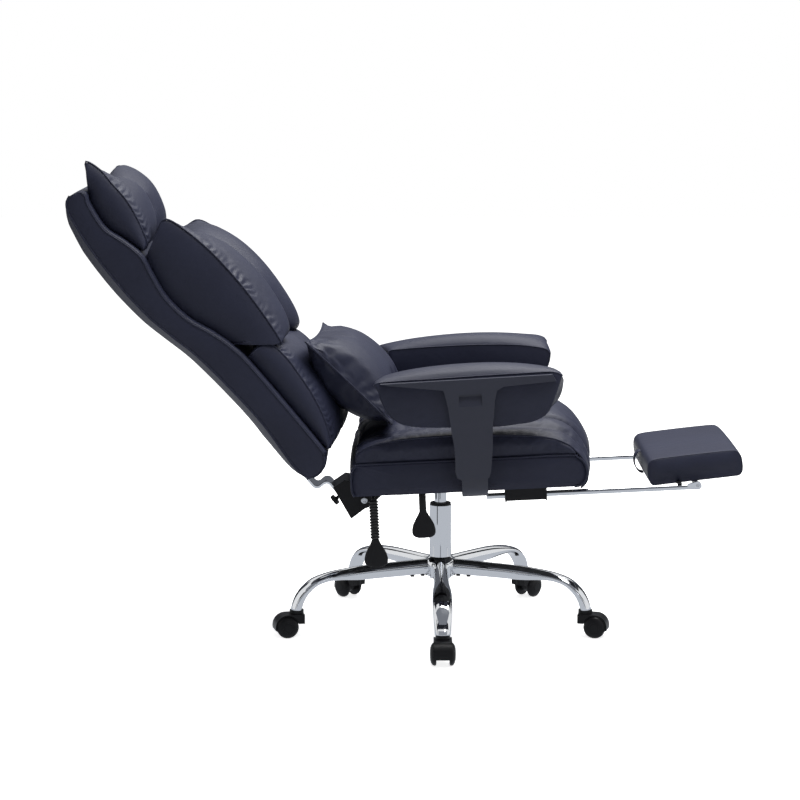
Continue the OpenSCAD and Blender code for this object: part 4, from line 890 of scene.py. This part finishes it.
# Underneath, a rim turns in and then up to the board.
RIM_REAR, RIM_FRONT, RIM_HALF, BOARD_LOW = -186, 291, 241, 25.5
near, far = box_panels
rim = [row[0] for row in box_rows]
rim += [ring[0] for ring in far[1:]] + [ring[-1] for ring in far[-2::-1]]
rim += [row[-1] for row in box_rows[-2::-1]]
rim += [ring[-1] for ring in near[1:]] + [ring[0] for ring in near[-2::-1]]
turned_in = [
    (min(max(x, RIM_REAR), RIM_FRONT), min(max(y, -RIM_HALF), RIM_HALF), z) for x, y, z in rim
]
turned_up = [(x, y, BOARD_LOW) for x, y, z in turned_in]
seat_box_cover = skin("seat_box_cover", [
    [[in_seat(*point) for point in row] for row in sheet]
    for sheet in (box_rows, near, far, [rim, turned_in, turned_up])
], leather)
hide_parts("seat_box")
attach(seat_box_cover, "seat")
for side, word in ((-1, "right"), (1, "left")):
    box_seam = [in_seat(x, side * (SEAT_HALF + 0.5), z) for x, z in even(BOX_SIDE, 160)]
    piping(f"seat_box_piping_{word}", box_seam, 0.0024, leather, "seat")

# Seat top: a crowned cushion with two sewn channels at each side, whose front panel runs down over the base.
# CHANNELS are their places as shares of the half width, and CHANNEL_DIP is how much of the crown they lose.
TOP_HALF = SEAT_HALF - 3
BOX_TOP = 79
CHANNELS, CHANNEL_DIP = (0.56, 0.79), 0.2
TOP_SIDE = curve_through([
    (-180, BOX_TOP), (-184, 95), (-176, 107), (-138, 121), (-77, 129), (0, 132), (78, 131), (151, 127.5),
    (208, 122.6), (250, 114.4), (279, 101), (294, 87), (304, 76), (314, 60), (319, 40), (316, 18), (303, 4),
], 6)
TOP_MID = curve_through([
    (-184, BOX_TOP), (-189, 91.4), (-178, 106.2), (-146, 120), (-88.4, 131), (0, 144), (78, 153.7),
    (151, 160.3), (218, 160.3), (264, 155), (299, 134), (318, 106), (328, 84), (334, 62), (336, 40),
    (333, 18), (316, 3),
], 6)
top_rows, top_held = [], []
across = set(np.round(np.sin(np.linspace(-1, 1, 77) * math.pi / 2), 4))
for t in sorted(across | {c * s for c in CHANNELS for s in (-1, 1)}):
    dip = sum(CHANNEL_DIP * math.exp(-((abs(t) - c) / 0.026) ** 2) for c in CHANNELS)
    full = 1 - abs(t) ** 2.2 - dip
    line = TOP_SIDE + (TOP_MID - TOP_SIDE) * full
    row = [in_seat(x, t * TOP_HALF, z) for x, z in even(line, 120)]
    top_rows.append(row)
    if min(abs(abs(t) - c) for c in (*CHANNELS, 1)) < 0.0005:
        top_held += row
top_held += [row[0] for row in top_rows] + [row[-1] for row in top_rows]
top_sheets = [top_rows]
# A narrow side panel joins the outline to the base, as far forward as the base's top goes.
side_seam = even(TOP_SIDE[:67], 80)
for side in (-1, 1):
    sheet = []
    for w in np.linspace(0, 1, 12):
        y = side * (TOP_HALF + (7 * math.sin(math.pi * w) ** 0.8 if 0 < w < 1 else 0))
        sheet.append([in_seat(x, y, z + (BOX_TOP - z) * w) for x, z in side_seam])
    top_sheets.append(sheet)
    top_held += sheet[-1]
seat_top = skin("seat_top_cover", top_sheets, leather)
puff_up(seat_top, top_held, 3.0, 0.02, 0.012)
smooth_out(seat_top)
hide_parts("seat_cushion")
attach(seat_top, "seat")
for side, word in ((-1, "right"), (1, "left")):
    top_seam = [in_seat(x, side * (TOP_HALF + 1), z) for x, z in even(TOP_SIDE, 130)]
    piping(f"seat_top_piping_{word}", top_seam, 0.0022, leather, "seat")
    for number, share in enumerate(CHANNELS, 1):
        line = TOP_SIDE + (TOP_MID - TOP_SIDE) * (1 - CHANNEL_DIP - share ** 2.2)
        channel = [in_seat(x, side * share * TOP_HALF, z) for x, z in even(line, 120)]
        piping(f"seat_top_seam_{word}_{number}", channel[4:-2], 0.0013, leather, "seat")

# Arm pads: foam on a plywood strip under leather, boat shaped outside and blunt inside,
# with a crowned top panel and piping along its outer and inner seams.
PAD_SEAM = curve_through([
    (-138, 257.6), (-128, 263), (-80, 264), (0, 264.5), (120, 267), (200, 268.5), (243, 269.5), (262, 266),
    (268, 262),
], 6)
PAD_LOW = curve_through([
    (-138, 257.6), (-128, 245), (-118, 210.5), (-94, 179.5), (-44, 163.5), (112, 157), (166, 160),
    (203, 164.5), (232, 179.5), (248, 208.4), (262, 244.7), (268, 262),
], 6)
# The inner outline, with upright ends
PAD_SEAM_IN = curve_through([
    (-113, 256), (-106, 263), (-80, 264), (0, 265), (120, 264), (200, 260), (250, 253), (270, 247),
    (277, 238),
], 6)
PAD_LOW_IN = curve_through([
    (-112, 262), (-109, 245), (-104, 224), (-92, 186), (-60, 166), (112, 159), (170, 162), (215, 168),
    (250, 184), (264, 198), (272, 214), (276, 230), (277, 244),
], 6)
# How far inwards each station lies in mm, how much crown its top has, and the size of its outline
PAD_STATIONS = [
    (0, 0, 0.985), (1.6, 0.12, 0.995), (5, 0.3, 1.003), (14, 0.62, 1.01), (31, 0.93, 1.0), (49, 1, 1.0),
    (64, 0.86, 1.0), (75, 0.62, 0.997), (83, 0.34, 0.99), (87, 0.12, 0.98), (88, 0, 0.965),
]
# The outer end lies PAD_OUT mm from the middle of the chair, and PAD_BLEND mm further in the outline has
# changed to the inner one. It is sized about PAD_X and PAD_Z.
PAD_OUT, PAD_BLEND = 310.7, 80
PAD_X, PAD_Z = 65, 215
SEAM_POINTS = 60


def pad_outline(seam, low):
    """A closed outline: the seam line from the rear to the front, and back along the lower line."""
    seam, low = even(seam, SEAM_POINTS), even(low, SEAM_POINTS)
    return np.vstack([seam, low[-2:0:-1], seam[:1]])


pad_outer, pad_inner = pad_outline(PAD_SEAM, PAD_LOW), pad_outline(PAD_SEAM_IN, PAD_LOW_IN)
for side, word in ((-1, "right"), (1, "left")):
    rows = []
    for inward, crown, size in curve_through(PAD_STATIONS, 5):
        share = min(1.0, max(0.0, inward / PAD_BLEND)) ** 1.5
        y = side * (PAD_OUT - inward)
        ring = []
        for k, (x, z) in enumerate(pad_outer + (pad_inner - pad_outer) * share):
            rise = 0
            if k < SEAM_POINTS:
                rise = (24 + 5 * share) * crown * math.sin(math.pi * min(1, k / (SEAM_POINTS - 1))) ** 0.5
            ring.append(in_seat(PAD_X + (x - PAD_X) * size, y, PAD_Z + (z - PAD_Z) * size + rise))
        rows.append(ring)
    pad = skin(f"arm_pad_cover_{word}", [rows], leather, caps=[rows[0][:-1], rows[-1][:-1]])
    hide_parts(f"arm_pad_{word}")
    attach(pad, "seat")
    piping(f"arm_pad_piping_{word}", rows[5][:SEAM_POINTS], 0.0019, leather, "seat")
    piping(f"arm_pad_inner_piping_{word}", rows[-6], 0.0016, leather, "seat", closed=True)


# Footrest pad: foam on a steel tray, boxed, with piping round the top panel.
# It hangs on a shaft at SHAFT_X and SHAFT_Z of the seat, and leans back by FOOT_TILT.
SHAFT_X, SHAFT_Z = 563, -12
FOOT_TILT = math.radians(4)
FOOT_HALF = 180


def on_shaft(x, y, z):
    """A point of the footrest in metres, from the middle of its shaft; in mm."""
    return in_seat(
        SHAFT_X + x * math.cos(FOOT_TILT) - z * math.sin(FOOT_TILT), y,
        SHAFT_Z + x * math.sin(FOOT_TILT) + z * math.cos(FOOT_TILT),
    )


FOOT_LINE = curve_through([
    (-104.6, 33), (-103.2, 48), (-98, 58), (-86, 63), (-41, 64.3), (43.5, 64.3), (88, 63), (100, 58),
    (105.5, 48), (107, 33), (105.5, 17), (99, 8.6), (86, 7.3), (1, 7.3), (-86, 7.3), (-98, 8.8), (-103, 17),
    (-104.6, 33),
], 7)
foot_line = even(FOOT_LINE, 132)
FOOT_X, FOOT_Z = 1.0, 36.0
foot_rows = []
# Stations from right to left as shares of the half width, with how far each is drawn in and crowned in mm
for t, inset, crown in curve_through([
    (-1, 7, -1.5), (-0.992, 3, -0.6), (-0.975, 0.8, 0), (-0.93, 0, 0.6), (-0.6, -0.6, 1.2), (0, -1, 1.6),
    (0.6, -0.6, 1.2), (0.93, 0.6, 0.4), (0.97, 3, -0.4), (0.99, 8, -1.6), (1, 14, -3),
], 5):
    row = []
    for x, z in foot_line:
        rise = crown * max(0.0, (z - FOOT_Z) / 28)
        row.append(on_shaft(FOOT_X + (x - FOOT_X) * (1 - inset / 105), t * FOOT_HALF, z + rise))
    foot_rows.append(row)
foot_pad = skin("footrest_cover", [foot_rows], leather, caps=[foot_rows[0][:-1], foot_rows[-1][:-1]])
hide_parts("footrest_pad")
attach(foot_pad, "footrest")
for word, row in (("right", foot_rows[7]), ("left", foot_rows[-10])):
    piping(f"footrest_piping_{word}", row[:-1], 0.0017, leather, "footrest", closed=True)

# Pull strap: a leather band sewn to the rear face, by which a sitter turns the pad over.
# Its section has the distance across in mm and the distance outwards in half thicknesses.
STRAP_SECTION = ((-20, 0), (-19, -1), (9, -1), (10, 0), (9, 1), (-19, 1), (-20, 0))
STRAP_HALF = 1.3
strap_line = curve_through([
    (-102.5, 56), (-108, 55), (-115, 48), (-118.5, 36), (-117, 22), (-110, 10), (-101, 6.5),
], 6)
strap_rows = []
for k, (x, z) in enumerate(strap_line):
    run = strap_line[min(k + 1, len(strap_line) - 1)] - strap_line[max(k - 1, 0)]
    out = np.array((run[1], -run[0])) / np.hypot(*run) * STRAP_HALF
    strap_rows.append([on_shaft(x + out[0] * v, y, z + out[1] * v) for y, v in STRAP_SECTION])
strap = skin("footrest_pull_strap", [strap_rows], leather, caps=[strap_rows[0][:-1], strap_rows[-1][:-1]])
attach(strap, "footrest")
